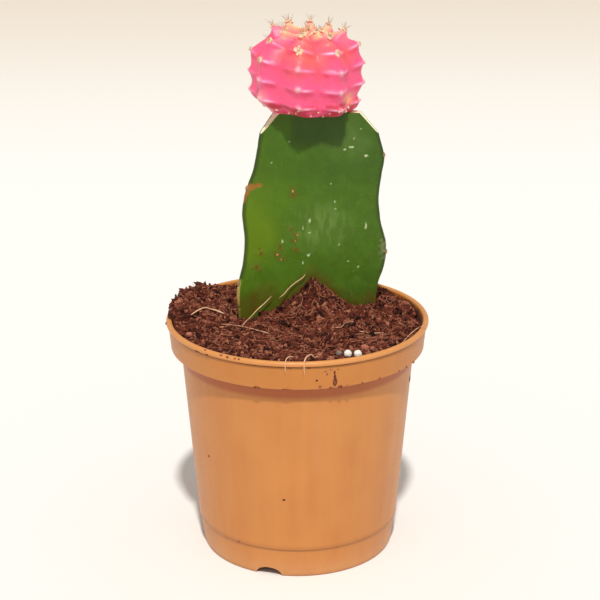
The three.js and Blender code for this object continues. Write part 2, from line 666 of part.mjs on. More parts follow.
// Each loose fibre's route: laid on the soil, leant on the stem's face, or hooked over the lip.
const FIBRE_RADIUS = 0.3;
const LAID_CLEAR = 1.05;
const laid = (x, y, lift = 0) => new THREE.Vector3(x, y, soilHeight(x, y) + LAID_CLEAR + lift);
const at = (x, y, z) => new THREE.Vector3(x, y, z);
const FIBRES = [
  {
    name: 'heap_fibre',
    points: [laid(-34.4, -1.7, 0.5), laid(-32.7, 1.3, 0.6), laid(-30.4, 5.3, 0.6), laid(-28.3, 6.6, 0.6),
      laid(-26.4, 5.4, 0.5), laid(-23.8, 3.8, 0.3)],
  },
  {
    name: 'flat_fibre',
    points: [laid(-24.8, -2.7), laid(-20.4, -6.2), laid(-15.4, -8.4), laid(-11.2, -10.6), laid(-8.9, -11.4)],
  },
  {
    name: 'leaning_fibre_1',
    points: [laid(-17.9, -6.1), laid(-16.7, -2.6), at(-14.9, 4.1, 76.6), at(-12.8, 7.0, 78.0),
      at(-10.7, 8.6, 79.4), at(-8.5, 9.2, 81.6)],
  },
  {
    name: 'leaning_fibre_2',
    points: [at(-6.1, 9.2, 80.8), at(-4.2, 9.9, 82.3), at(-2.9, 10.6, 83.7), at(-1.1, 11.2, 85.2),
      at(1.9, 11.7, 87.3), at(2.6, 11.9, 88.4)],
  },
  {
    name: 'hook_fibre_1',
    points: [at(-3.6, -42.3, 74.9), at(-3.7, -42.9, 77.8), at(-3.3, -41.9, 79.4), at(-2.2, -39.6, 79.2),
      at(-0.7, -37.2, 78.1)],
  },
  {
    name: 'hook_fibre_2',
    points: [at(2.1, -42.3, 74.1), at(2.0, -42.9, 77.8), at(2.5, -41.8, 79.6), at(4.0, -39.4, 79.8),
      at(5.2, -38.6, 78.5), at(6.2, -36.4, 78.2)],
  },
  {
    name: 'rim_fibre',
    points: [laid(30.7, -22.7), laid(32.7, -19.7), laid(34.4, -16.9, 0.2), at(36.5, -13.9, 77.5),
      at(38.2, -12.4, 78.2), at(39.6, -13.0, 79.2), at(40.9, -12.7, 79.2)],
  },
  {
    name: 'curly_fibre',
    points: [laid(12.0, -7.2), laid(14.1, -6.6), laid(15.7, -1.6, 0.2), laid(18.4, 0.2)],
  },
  { name: 'pale_fibre', points: [laid(19.9, -9.2), laid(23.8, -8.2), laid(27.6, -9.8)] },
];

function fibreTube(fibre) {
  const route = new THREE.CatmullRomCurve3(fibre.points);
  const ring = arc([0, 0], FIBRE_RADIUS, 0, 360, 5).slice(0, 5).map(([x, y]) => new THREE.Vector2(x, y));
  const steps = Math.max(8, Math.ceil(route.getLength() / 1.8));
  const options = { steps, extrudePath: route, bevelEnabled: false };
  return solidOf(new THREE.ExtrudeGeometry(new THREE.Shape(ring), options));
}

// Assembly

function finish(colour, roughness) {
  return new THREE.MeshStandardMaterial({ color: colour, roughness, metalness: 0 });
}

const cactus = new THREE.Group();

function add(name, solid, material) {
  const mesh = new THREE.Mesh(geometryOf(solid), material);
  mesh.name = name;
  cactus.add(mesh);
}

add('pot', makePot(), finish(0xd68c50, 0.45));
add('soil', makeSoil(), finish(0x5a3028, 0.95));
add('stock', makeStock(), finish(0x4a7020, 0.5));
add('scion', makeScion(), finish(0xff6a8a, 0.55));
for (const pebble of PEBBLES) {
  add(pebble.name, solidOf(pebbleGeometry(pebble, 0)), finish(pebble.colour, 0.7));
}
for (const fibre of FIBRES) add(fibre.name, fibreTube(fibre), finish(0xc89868, 0.8));

export default cactus;
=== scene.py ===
import math
from functools import partial

import bmesh
import bpy
import numpy as np
from bpy.props import FloatProperty, FloatVectorProperty, IntProperty, PointerProperty
from mathutils import Matrix, Vector


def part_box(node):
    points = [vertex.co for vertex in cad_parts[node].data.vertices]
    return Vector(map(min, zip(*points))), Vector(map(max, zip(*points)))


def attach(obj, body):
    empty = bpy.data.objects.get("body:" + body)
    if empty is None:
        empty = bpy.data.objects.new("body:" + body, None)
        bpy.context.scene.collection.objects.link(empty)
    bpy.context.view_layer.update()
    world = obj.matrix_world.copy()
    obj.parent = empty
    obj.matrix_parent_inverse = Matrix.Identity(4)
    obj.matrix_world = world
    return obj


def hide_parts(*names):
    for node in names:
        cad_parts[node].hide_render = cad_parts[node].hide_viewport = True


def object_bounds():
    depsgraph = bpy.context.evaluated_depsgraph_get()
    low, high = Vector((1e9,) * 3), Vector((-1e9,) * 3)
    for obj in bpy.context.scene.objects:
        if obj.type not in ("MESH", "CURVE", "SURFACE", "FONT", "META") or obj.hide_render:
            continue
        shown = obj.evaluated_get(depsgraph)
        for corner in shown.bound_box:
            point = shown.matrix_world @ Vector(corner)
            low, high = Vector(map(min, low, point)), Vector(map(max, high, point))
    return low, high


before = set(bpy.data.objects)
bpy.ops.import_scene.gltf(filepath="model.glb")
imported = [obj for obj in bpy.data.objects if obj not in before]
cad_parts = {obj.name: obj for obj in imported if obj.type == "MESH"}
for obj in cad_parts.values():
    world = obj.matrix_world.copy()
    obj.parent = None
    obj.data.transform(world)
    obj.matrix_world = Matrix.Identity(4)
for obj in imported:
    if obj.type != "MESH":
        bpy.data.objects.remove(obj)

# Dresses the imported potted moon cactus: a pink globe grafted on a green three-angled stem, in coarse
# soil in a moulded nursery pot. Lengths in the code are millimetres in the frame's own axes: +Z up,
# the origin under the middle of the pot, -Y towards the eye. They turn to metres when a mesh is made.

bl_info = {
    "name": "Potted Moon Cactus",
    "version": (1, 0, 0),
    "blender": (4, 5, 0),
    "location": "3D View > Sidebar > Cactus",
    "description": "Builds a grafted moon cactus in its nursery pot around its packed solids",
    "category": "Add Mesh",
}

MM = 0.001
TURN = 2 * math.pi
CAD_BOX = [list(corner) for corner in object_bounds()]
CAD_TOP = CAD_BOX[1][2] / MM
# Where each random scatter starts, so that it comes out the same on every run.
SEEDS = {
    "pot marks": 71, "crumbs": 100, "strands": 31, "ringed warts": 29, "hidden marks": 23, "stem areoles": 8,
    "globe wool": 44, "fibres": 300,
}

# Pot
POT_HEIGHT = 78.3
LIP_ROUND = 0.95
COLLAR_TOP_RADIUS = 41.8
COLLAR_FOOT_RADIUS = 41.1
COLLAR_BOTTOM = 68.8
COLLAR_ROUND = 0.4
# Height of the crease between the collar and the lip's bead.
CREASE = 76.52
WALL_TOP_RADIUS = 37.92
STEP_RADIUS = 33.0
STEP_HEIGHT = 10.1
STEP_DEPTH = 0.35
FOOT_RADIUS = 31.3
WALL = 1.1
FOOT_WIDTH = 1.6
BASE_UNDERSIDE = 2.9
BASE_TOP = 4.1
NOTCHES = 3
NOTCH_WIDTH = 8.6
NOTCH_HEIGHT = 2.4
FIRST_NOTCH_AZIMUTH = -17.5
DRAIN_HOLES = 6
DRAIN_HOLE_RADIUS = 3.0
DRAIN_CIRCLE_RADIUS = 20.0
RIM_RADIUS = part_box("pot")[1].x / MM
GAP = 0.3

# The pot's inside is painted darker and redder from this height up, within this radius.
DARKENED_FROM = 69.5
DARKENED_WITHIN = RIM_RADIUS - 1.9
# The collar's shadow is painted on the wall from this height up to the collar.
COLLAR_SHADOW_FROM = 63.9
# What stands further out than this radius is the outside of the collar and the lip.
COLLAR_OUTSIDE = WALL_TOP_RADIUS + 2.9

# Edges that turn more than this many degrees stay sharp.
SHARP_EDGES = {"pot": 38, "soil": 60, "stem": 50, "globe": 60}

# Soil relief: the same rises and dips as the solid's.
SOIL_LEVEL = 75.7
SOIL_FALL = 0.013
HEAP = {"rise": 5.0, "azimuth": 161, "radius": 40, "spread": 30, "width": 8.5}
HEAP_EDGE = 1.8
MOUND = {"rise": 10.5, "x": 4.8, "y": 15, "left": 5.5, "right": 5, "depth": 11}
SWELLS = (
    {"rise": 1.2, "x": 25, "y": 15, "width": 6, "depth": 7},
    {"rise": 3.6, "x": 11.5, "y": 13, "width": 4.5, "depth": 9},
    {"rise": 2.2, "x": -4.5, "y": 13, "width": 4.5, "depth": 8},
    {"rise": 2.2, "x": 31, "y": 28, "width": 9, "depth": 9},
    {"rise": 2.0, "x": 38, "y": 13, "width": 5, "depth": 8},
    {"rise": -2.6, "x": -17, "y": 7, "width": 6, "depth": 7},
    {"rise": -1.2, "x": -37, "y": -13, "width": 5, "depth": 8},
    {"rise": 0.8, "x": 0, "y": -38, "width": 60, "depth": 9},
)
CLODS = ({"rise": 0.85, "size": 3.4}, {"rise": 0.45, "size": 2.1})
# Loose crumbs lie within this radius, or on the heap above the lip.
CRUMB_EDGE = 39.9
STRAND_EDGE = 39.6
HEAP_CRUMBS = 900
HEAP_CLODS = 110
# Clods that stand up along the heap's edge: x, y, z and size.
HEAP_TIPS = (
    (-32.5, 23.0, 80.6, 1.3), (-31.1, 25.0, 79.6, 1.0), (-35.9, 18.0, 80.3, 1.2), (-34.3, 20.0, 79.4, 1.0),
    (-40.4, 10.5, 79.4, 1.0), (-38.7, 14.0, 79.0, 1.0), (-41.0, 6.0, 79.9, 1.1), (-41.1, 2.0, 79.4, 0.9),
    (-40.6, -1.5, 78.9, 0.9),
    (-37.2, 12.5, 80.6, 1.3), (-38.2, 7.5, 80.8, 1.2), (-33.4, 17.5, 80.2, 1.2),
)

# Stem
STEM_CENTRE = np.array((1.6, 20.0))
GRAFT_HEIGHT = 142.5
GRAFT_TILT = 3
# How far the globe's seat lies below the stem's cut.
GRAFT_SINK = 0.05
GRAFT_UP = np.array((math.sin(math.radians(GRAFT_TILT)), 0, math.cos(math.radians(GRAFT_TILT))))
BURIED_FOOT = 50.0
FOOT_REACH = 7.0
RIB_TIP_ROUND = 1.15
RIB_ROOT_HALF = 2.9
FACE_RADIUS = 7.2
# Each rib: the way it points, how far its margin stands out at each height, and its slanted cut.
RIBS = (
    {
        "angle": 209.4,
        "reach": ((74, 24.0), (84, 24.4), (93, 22.1), (101, 21.4), (110, 22.1), (117, 20.9), (124, 17.9),
                  (135, 15.6), (146, 13.8)),
        "bevel": {"reach": 15.6, "height": 135.2, "slope": 46},
    },
    {
        "angle": 350.5,
        "reach": ((74, 24.5), (84, 25.6), (89, 27.2), (94, 28.0), (99, 27.8), (105, 26.2), (113, 25.4),
                  (121, 26.2), (127, 27.0), (135, 25.1), (146, 22.5)),
        "bevel": {"reach": 25.2, "height": 134.6, "slope": 48},
    },
    {
        "angle": 460.0,
        "reach": ((74, 15.4), (84, 15.0), (94, 16.6), (104, 14.8), (114, 14.4), (124, 16.2), (134, 14.2),
                  (146, 13.0)),
        "bevel": {"reach": 14.2, "height": 135.5, "slope": 46},
    },
)
# The skin has a fine grid from this height up, just below the soil.
SKIN_FROM = 72
# Areoles on the margins: rib and height.
STEM_AREOLES = ((0, 118), (0, 86), (1, 127.6), (1, 95), (2, 124), (2, 94))
# Marks on the front face: x, z, half width and half height.
WARTS = (
    (-2.0, 103.6, 0.9, 0.7), (-0.3, 101.5, 0.7, 0.8), (-0.4, 96.6, 0.75, 0.8), (-6.6, 95.0, 1.0, 0.8),
    (-11.8, 96.0, 0.8, 0.8), (-13.4, 91.6, 0.8, 1.0), (-1.5, 116.4, 0.7, 0.9), (-1.2, 114.9, 0.8, 0.6),
    (-5.3, 93.4, 0.6, 0.6), (-12.4, 90.1, 0.6, 0.6), (-0.6, 99.6, 0.5, 0.6), (-5.6, 97.6, 0.45, 0.8),
)
# Pale flecks on the front face, painted highlights: x, z, half width and half height.
FLECKS = (
    (3.7, 94.5, 0.65, 0.6), (4.1, 106.2, 0.35, 0.9), (12.3, 112.2, 0.3, 0.35), (12.4, 109.9, 0.3, 0.4),
    (17.6, 130.4, 0.95, 0.4), (15.4, 129.7, 0.5, 0.3), (22.4, 127.6, 0.75, 0.4), (22.5, 104.0, 0.3, 1.25),
    (16.7, 91.9, 0.35, 0.35), (20.0, 89.8, 0.3, 0.35), (4.0, 102.1, 0.4, 0.35), (1.9, 103.9, 0.3, 0.8),
    (1.9, 92.0, 0.35, 0.7), (11.0, 118.3, 0.25, 0.3), (18.4, 133.4, 0.35, 0.3), (-4.9, 99.4, 0.3, 0.6),
    (20.6, 136.5, 0.3, 0.3), (-2.4, 132.6, 0.35, 0.3), (13.6, 97.5, 0.25, 0.5), (-8.2, 126.0, 0.3, 0.3),
)
SCARS = (
    (-16.9, 116.9, 1.7, 2.4), (-14.7, 118.6, 1.8, 1.3), (-12.4, 119.0, 1.6, 0.9), (-17.3, 114.8, 1.0, 1.6),
)

# Globe
GLOBE_CENTRE = np.array((3.0, 20.0, 155.6))
GLOBE_RADIUS = 17.7
GLOBE_UP = 11.8
GLOBE_DOWN = 15.5
# How full the globe's profile is above and below its widest line, where 2 would be an ellipse.
FULL_ABOVE = 2.7
FULL_BELOW = 3.7
# Relief of the ribs: the furrows between them, the ridge at each areole, and how far a tubercle stands
# out and a young one still further.
FURROW_DEPTH = 1.9
RIDGE_RISE = 0.4
TUBERCLE_RISE = 0.5
YOUNG_RISE = 1.3
# How far the crown is sunk, and the radius that it is sunk within.
CROWN_DEPTH = 1.8
CROWN_RADIUS = 6.5
GLOBE_RIBS = 8
FIRST_RIB_AZIMUTH = -98.6
AREOLE_SPACING = 6.2
RIB_STARTS = (-1.3, -1.7, -3.6, -5.3, -4.2, -2.2, -3.5, -2.0)
# How far each rib is drawn in at its shoulder, and between which heights the drawing in begins.
RIB_SHOULDERS = (2.8, 0.8, 1.2, 0.8, -0.9, 0.9, 1.4, 1.8)
SHOULDER_FROM = 5
SHOULDER_TO = 9
# How far each rib is drawn in towards the graft, and between which depths the drawing in begins.
RIB_KEELS = (-0.6, -0.6, 0, 0.4, 1.0, 0.6, 0, 0)
KEEL_FROM = 5
KEEL_TO = 10
# The heights between which the tubercles turn young, and stand further out.
YOUNG_FROM = 7
YOUNG_TO = 11
# How far the globe's underside stands to the right, and between which depths it turns that way.
SWAY = 2.2
SWAY_FROM = 8.5
SWAY_TO = 13
LOWEST_AREOLE = -44
# How clearly the ridges stand out on the left and on the right of each rib's crest.
RIDGE_CLEARNESS = (
    (0.7, 0.7), (0.6, 1.0), (0.3, 0.9), (1.0, 0.85), (0.95, 0.7), (0.7, 0.7), (0.6, 0.8), (0.8, 0.6),
)
# The first rib's uppermost tubercle stands taller than the rest and leans in over the crown.
TALL = {"height": 9.6, "spread": 0.32, "depth": 3.2, "rise": 2.6, "inward": 1.8}
# Patches that the sun turned coral: azimuth from the front, height above the middle, and their spread.
SUNNED = (
    {"azimuth": 2, "height": 6.4, "width": 0.42, "tall": 5.6, "amount": 1.0},
    {"azimuth": 55, "height": 6.0, "width": 0.26, "tall": 3.4, "amount": 1.0},
    {"azimuth": -32, "height": 7.5, "width": 0.2, "tall": 3.0, "amount": 0.7},
    {"azimuth": -78, "height": 3.5, "width": 0.2, "tall": 3.0, "amount": 0.5},
    {"azimuth": 25, "height": 9.5, "width": 0.5, "tall": 2.2, "amount": 0.7},
    {"azimuth": 170, "height": 4.0, "width": 0.7, "tall": 5.0, "amount": 0.8},
)
# Wool tufts low on the globe, between its areoles: azimuth from the front and height above the middle.
LOW_TUFTS = (
    (-3, -12.6), (8, -11.6), (22, -12.2), (33, -11.4), (-20, -11.9), (-33, -12.3), (45, -12.1), (-44, -11.4),
    (57, -11.5), (14, -13.2), (-12, -10.6), (120, -12.0), (160, -12.4), (-150, -12.2), (-110, -11.8),
)
# Where the upper areoles' wool begins, above the middle, and how many flocks and hairs an areole has.
WOOLLY_FROM = 4
FLOCKS = 11
WOOL_HAIRS = 26
# Spines of the crown's areoles and of those lower down. The crown begins at this latitude.
CROWN_FROM = 30
CROWN_SPINES = {"count": 6, "spread": (0.5, 1.1), "upwards": 0.7, "reach": (2.0, 3.6), "radius": 0.1}
SIDE_SPINES = {"count": 3, "spread": (0.8, 1.3), "upwards": 0, "reach": (0.7, 1.2), "radius": 0.09}

# Loose things on the soil: x, y and radius.
PEBBLES = {
    "white_bead_1": (15.5, -31.9, 1.25),
    "white_bead_2": (18.6, -31.2, 1.3),
    "grey_bead": (12.8, -30.6, 1.0),
    "red_grit_1": (21.1, -22.9, 1.25),
    "red_grit_2": (23.3, -24.3, 0.7),
    "red_grit_3": (-34.5, -12.2, 1.2),
}
# How far a bead's middle stands above the soil, as a share of its radius.
BEAD_RISE = 0.35

# Loose fibres: points of their routes. A laid point is x, y and the lift above where a fibre lies on the
# soil. One under "at" is x, y and z where it leans on the stem or hooks over the lip.
LAID_CLEAR = 0.75
FIBRES = {
    "heap_fibre": (
        ("laid", -34.4, -1.7, 0.5), ("laid", -32.7, 1.3, 0.6), ("laid", -30.4, 5.3, 0.6),
        ("laid", -28.3, 6.6, 0.6), ("laid", -26.4, 5.4, 0.5), ("laid", -23.8, 3.8, 0.3),
    ),
    "flat_fibre": (
        ("laid", -24.8, -2.7, 0), ("laid", -20.4, -6.2, 0), ("laid", -15.4, -8.4, 0),
        ("laid", -11.2, -10.6, 0), ("laid", -8.9, -11.4, 0),
    ),
    "leaning_fibre_1": (
        ("laid", -17.9, -6.1, 0), ("laid", -16.7, -2.6, 0), ("at", -14.9, 4.1, 76.6),
        ("at", -12.8, 7.0, 78.0), ("at", -10.7, 8.6, 79.4), ("at", -8.5, 9.2, 81.6),
    ),
    "leaning_fibre_2": (
        ("at", -6.1, 9.2, 80.8), ("at", -4.2, 9.9, 82.3), ("at", -2.9, 10.6, 83.7),
        ("at", -1.1, 11.2, 85.2), ("at", 1.9, 11.7, 87.3), ("at", 2.6, 11.9, 88.4),
    ),
    "hook_fibre_1": (
        ("at", -3.6, -42.3, 74.9), ("at", -3.7, -42.9, 77.8), ("at", -3.3, -41.9, 79.4),
        ("at", -2.2, -39.6, 79.2), ("at", -0.7, -37.2, 78.1),
    ),
    "hook_fibre_2": (
        ("at", 2.1, -42.3, 74.1), ("at", 2.0, -42.9, 77.8), ("at", 2.5, -41.8, 79.6),
        ("at", 4.0, -39.4, 79.8), ("at", 5.2, -38.6, 78.5), ("at", 6.2, -36.4, 78.2),
    ),
    "rim_fibre": (
        ("laid", 30.7, -22.7, 0), ("laid", 32.7, -19.7, 0), ("laid", 34.4, -16.9, 0.2),
        ("at", 36.5, -13.9, 77.5), ("at", 38.2, -12.4, 78.2), ("at", 39.6, -13.0, 79.2),
        ("at", 40.9, -12.7, 79.2),
    ),
    "curly_fibre": (
        ("laid", 12.0, -7.2, 0), ("laid", 14.1, -6.6, 0), ("laid", 15.7, -1.6, 0.2), ("laid", 18.4, 0.2, 0),
    ),
    "pale_fibre": (("laid", 19.9, -9.2, 0), ("laid", 23.8, -8.2, 0), ("laid", 27.6, -9.8, 0)),
}
BROWN_FIBRES = ("flat_fibre", "curly_fibre", "rim_fibre")
# How thick each fibre is, as a share of the usual radius.
FIBRE_GROWTH = {
    "heap_fibre": 1.5, "flat_fibre": 0.85, "leaning_fibre_1": 0.85, "leaning_fibre_2": 0.8,
    "hook_fibre_1": 0.8, "hook_fibre_2": 0.8, "rim_fibre": 0.9, "curly_fibre": 0.8, "pale_fibre": 0.9,
}

# Dry hairs that stand up from the heap: where each starts, the way it points and its length.
HEAP_HAIRS = (
    ((-36.5, 7.0), (-0.35, 0.1, 1), 5.2), ((-35.0, 9.5), (0.1, -0.2, 1), 4.0),
    ((-33.6, 12.4), (-0.15, 0.1, 1), 6.0), ((-37.6, 11.0), (-0.5, 0.0, 0.8), 3.4),
    ((-38.8, 4.0), (-0.5, -0.2, 1), 4.2), ((-30.0, 18.0), (0.2, 0.3, 1), 5.0),
    ((-37.2, -1.5), (-0.3, -0.6, 0.7), 3.0), ((-35.6, 14.6), (0.4, 0.2, 1), 4.6),
)

# Soil that stuck to the pot: azimuth from the front, height, half width, half height, thickness.
POT_MARKS = (
    (15.7, 74.5, 0.3, 1.0, 0.08), (15.9, 72.8, 0.4, 1.0, 0.1), (16.0, 71.0, 0.62, 1.3, 0.14),
    (11.8, 74.9, 0.4, 0.35, 0.08), (12.5, 73.9, 0.3, 0.5, 0.07), (14.1, 75.3, 0.6, 0.25, 0.08),
    (17.2, 75.2, 0.35, 0.3, 0.08), (8.1, 71.9, 0.35, 0.3, 0.08), (9.5, 69.8, 0.5, 0.35, 0.12),
    (-17.6, 69.0, 1.0, 0.3, 0.2), (-4.7, 69.0, 1.3, 0.2, 0.12), (14.3, 69.1, 0.55, 0.35, 0.2),
    (18.4, 69.1, 0.75, 0.4, 0.25), (21.8, 69.0, 0.5, 0.4, 0.25), (28.9, 69.1, 0.3, 0.25, 0.12),
    (38.1, 69.1, 0.45, 0.3, 0.15), (50.4, 69.2, 0.35, 0.25, 0.15), (56.3, 69.2, 0.35, 0.3, 0.15),
    (63.0, 69.1, 0.7, 0.4, 0.25), (-46.9, 76.9, 1.0, 0.25, 0.12), (-41.0, 77.0, 0.6, 0.25, 0.1),
    (-42.4, 78.1, 0.4, 0.3, 0.15), (-33.5, 78.0, 0.5, 0.35, 0.18), (-30.3, 77.9, 0.5, 0.38, 0.2),
    (-26.7, 77.9, 0.4, 0.3, 0.15), (-24.9, 77.9, 0.35, 0.3, 0.15), (-3.0, 76.5, 0.6, 0.25, 0.12),
    (4.8, 76.3, 0.7, 0.28, 0.12), (-7.3, 28.7, 0.5, 0.4, 0.06), (-53.8, 37.8, 0.45, 0.4, 0.1),
    (78.0, 59.2, 0.5, 1.0, 0.2), (-83.3, 77.3, 0.5, 0.5, 0.25), (-35.2, 10.3, 0.5, 0.3, 0.12),
    (150.0, 74.2, 0.5, 0.8, 0.15), (195.0, 71.5, 0.7, 0.5, 0.2), (120.0, 40.0, 0.4, 0.5, 0.1),
    (-140.0, 69.6, 0.8, 0.4, 0.3), (-118.0, 76.0, 0.7, 0.9, 0.25), (-104.0, 74.6, 0.5, 0.8, 0.2),
)

# Camera: fitted to the pot's rim, collar, step and foot. The image is taken to be 600 by 600.
CAMERA_PLACE = (0.0, -534.73, 271.53)
CAMERA_PITCH = 0.3382
CAMERA_YAW = 0.0016
CAMERA_ROLL = -0.0019
FOCAL_PIXELS = 1752.4
IMAGE_PIXELS = 600
SENSOR_WIDTH = 36.0

# The way the sunlight travels, from behind the camera and steeply down.
SUN_WAY = (-1.41, 49.5, -78.3)
# How far behind the pot, in metres, the paper begins to turn warmer, and where it has turned.
PAPER_TURNS = 0.35
PAPER_WARM = 1.2
# How wide the sun looks, in degrees.
SUN_WIDTH = 3


def hex_linear(code):
    """An sRGB colour such as "#D68C50" as linear red, green, blue and alpha."""
    parts = [int(code[i:i + 2], 16) / 255 for i in (1, 3, 5)]
    linear = [c / 12.92 if c <= 0.04045 else ((c + 0.055) / 1.055) ** 2.4 for c in parts]
    return (*linear, 1.0)


# Sizes and colours that a user may change

def length(name, description, default, low, high):
    """A length property, given in millimetres."""
    return FloatProperty(
        name=name, description=description, default=default * MM, min=low * MM, max=high * MM,
        unit="LENGTH",
    )


def colour(name, description, code):
    """A colour property, given as an sRGB hex value."""
    return FloatVectorProperty(
        name=name, description=description, default=hex_linear(code), size=4, min=0, max=1, subtype="COLOR",
    )


def number(name, description, default, low, high):
    """A property that counts things."""
    return IntProperty(name=name, description=description, default=default, min=low, max=high)


def strength(name, description, default):
    """A property for how strong a light is."""
    return FloatProperty(name=name, description=description, default=default, min=0)


class PotSettings(bpy.types.PropertyGroup):
    lip_round: length("Lip rounding", "Radius of the bead along the lip", LIP_ROUND, 0.5, 1.5)
    sides: number("Sides", "Faces round the pot", 288, 48, 512)
    wall: colour("Wall", "Colour of the plastic", "#CD8642")
    wall_deep: colour("Wall, deep", "Colour of the plastic where it is thicker", "#C37938")
    dust: colour("Dust", "Colour of dried dust and lime on the wall", "#D9B692")


class SoilSettings(bpy.types.PropertyGroup):
    grid: length("Relief grid", "Spacing of the points of the soil's relief", 0.5, 0.3, 2.6)
    grain_count: number("Grains", "Fine grains on the soil", 5200, 0, 9000)
    crumb_count: number("Crumbs", "Coarse crumbs on the soil", 1700, 0, 2400)
    strand_count: number("Strands", "Fine coir strands in the soil", 620, 0, 1500)
    dark: colour("Dark", "Colour of the damp, shaded crumbs", "#240C07")
    middle: colour("Middle", "Colour of most crumbs", "#6C3120")
    light: colour("Light", "Colour of the driest crumbs", "#B27459")


class StemSettings(bpy.types.PropertyGroup):
    spacing: length("Skin grid", "Spacing of the points of the stem's skin", 0.45, 0.3, 2.0)
    green: colour("Green", "Colour of the skin", "#4C7010")
    young: colour("Young green", "Colour of the skin on its sunny left", "#64820F")
    old: colour("Old green", "Colour of the skin on its right", "#45651A")
    cork: colour("Cork", "Colour of scars and corky margins", "#A0682E")
    flesh: colour("Cut flesh", "Colour of the healed cut", "#FAF6CE")


class GlobeSettings(bpy.types.PropertyGroup):
    sides: number("Sides", "Points round the globe", 384, 64, 512)
    pink: colour("Pink", "Colour of the flesh", "#FC5A88")
    coral: colour("Coral", "Colour of the flesh where the sun warmed it", "#FF6664")
    ridge: colour("Ridge", "Colour of the ridges between areoles", "#FF98C6")
    straw: colour("Straw", "Colour of the young growth at the crown", "#F6C894")
    wool: colour("Wool", "Colour of the wool on the areoles", "#F8E0BE")
    spine: colour("Spine", "Colour of the spines at their root", "#E6C79C")
    spine_tip: colour("Spine tip", "Colour of the spines at their tip", "#7E4C3C")


class TrimSettings(bpy.types.PropertyGroup):
    fibre_radius: length("Fibre radius", "Radius of the loose coir fibres", 0.26, 0.1, 0.5)
    fibre: colour("Fibre", "Colour of dry coir", "#9C6446")
    fibre_pale: colour("Fibre, pale", "Colour of bleached coir", "#DEB492")
    bead: colour("White bead", "Colour of the white beads", "#FBF4EA")
    grey_bead: colour("Grey bead", "Colour of the grey bead", "#8A7470")
    grit: colour("Grit", "Colour of the fired-clay grit", "#BC745C")


class StageSettings(bpy.types.PropertyGroup):
    floor_radius: length("Floor radius", "How far the floor reaches", 5000, 1000, 20000)
    floor_near: colour("Floor", "Colour of the floor by the pot", "#EFEEEC")
    floor_far: colour("Floor, far", "Colour of the floor far behind the pot", "#DCD1C3")
    sky: colour("Sky", "Colour of the soft light from all round", "#FFFCF6")
    sun_strength: strength("Sun", "Strength of the main light", 2.65)
    sky_strength: strength("Sky", "Strength of the light from all round", 0.5)


# Shared helpers

# Which output of a node a link takes, where it isn't the first.
OUTPUTS = {"ShaderNodeTexCoord": "Object", "ShaderNodeAttribute": "Fac", "ShaderNodeMix": 2}


def add_node(tree, kind, parts):
    """Adds one shader node and gives it its parts: properties, free sockets, and sockets that are linked
    to the nodes or sockets given for them."""
    node = tree.nodes.new("ShaderNode" + kind)
    for key, value in parts.items():
        if isinstance(value, bpy.types.Node):
            value = value.outputs[OUTPUTS.get(value.bl_idname, 0)]
        if isinstance(value, bpy.types.NodeSocket):
            tree.links.new(value, node.inputs[key])
        elif key == "ramp":
            while len(node.color_ramp.elements) < len(value):
                node.color_ramp.elements.new(1.0)
            for element, (position, shade) in zip(node.color_ramp.elements, value):
                element.position = position
                element.color = shade
        elif isinstance(key, str) and hasattr(node, key):
            setattr(node, key, value)
        else:
            node.inputs[key].default_value = value
    return node


def start_material(name):
    """A bare material, the function that adds a node to it, and the place that its patterns follow."""
    material = bpy.data.materials.new(name)
    material.use_nodes = True
    material.node_tree.nodes.clear()
    add = partial(add_node, material.node_tree)
    return material, add, add("TexCoord", {})


def finish_material(material, add, satin=None, **surface):
    """Gives a material its surface shader, whose values and links are given by socket name. A satin
    finish is a pattern with the least and the greatest roughness that follow it."""
    if satin:
        pattern, least, most = satin
        surface["Roughness"] = add("MapRange", {
            "From Min": 0.3, "From Max": 0.7, "To Min": least, "To Max": most, "Value": pattern,
        })
    shader = add("BsdfPrincipled", {key.replace("_", " "): value for key, value in surface.items()})
    add("OutputMaterial", {"Surface": shader})
    return material


def per_mm(size):
    """The texture scale that gives a pattern features of this size in millimetres."""
    return 1 / (size * MM)


def blend(add, value, span, first, second, most=1.0):
    """Turns one colour to another as a value crosses a span, up to a greatest share."""
    if isinstance(second, str):
        second = hex_linear(second)
    share = add("MapRange", {"From Min": span[0], "From Max": span[1], "To Max": most, "Value": value})
    return add("Mix", {"data_type": "RGBA", 0: share, 6: first, 7: second})


def lay_over(add, below, layers, span=(0, 1)):
    """Lays colours over a colour, each by the mark of its name and up to its greatest share."""
    for mark, shade, most in layers:
        below = blend(add, add("Attribute", {"attribute_name": mark}), span, below, shade, most)
    return below


def two_tone(name, shades, size, detail, span, relief, depth, wrinkles=None, **surface):
    """A material of two colours in a pattern of a size in millimetres. The pattern also gives the
    relief, or wrinkles of another size do."""
    material, add, place = start_material(name)
    pattern = add("TexNoise", {"Scale": per_mm(size), "Detail": detail, "Vector": place})
    height = pattern
    if wrinkles:
        height = add("TexNoise", {"Scale": per_mm(wrinkles), "Detail": 3, "Vector": place})
    bump = add("Bump", {"Strength": relief, "Distance": depth * MM, "Height": height})
    base = blend(add, pattern, span, *shades)
    return finish_material(material, add, Base_Color=base, Normal=bump, **surface)


def new_object(name, points, faces):
    """An object made from points in millimetres."""
    mesh = bpy.data.meshes.new(name)
    mesh.from_pydata((np.asarray(points) * MM).tolist(), [], faces)
    made = bpy.data.objects.new(name, mesh)
    bpy.context.scene.collection.objects.link(made)
    return made


def write_marks(mesh, marks):
    """Keeps a number for every point of a mesh under each mark's name."""
    for name, numbers in marks.items():
        layer = mesh.attributes.new(name, "FLOAT", "POINT")
        layer.data.foreach_set("value", np.asarray(numbers, np.float32))


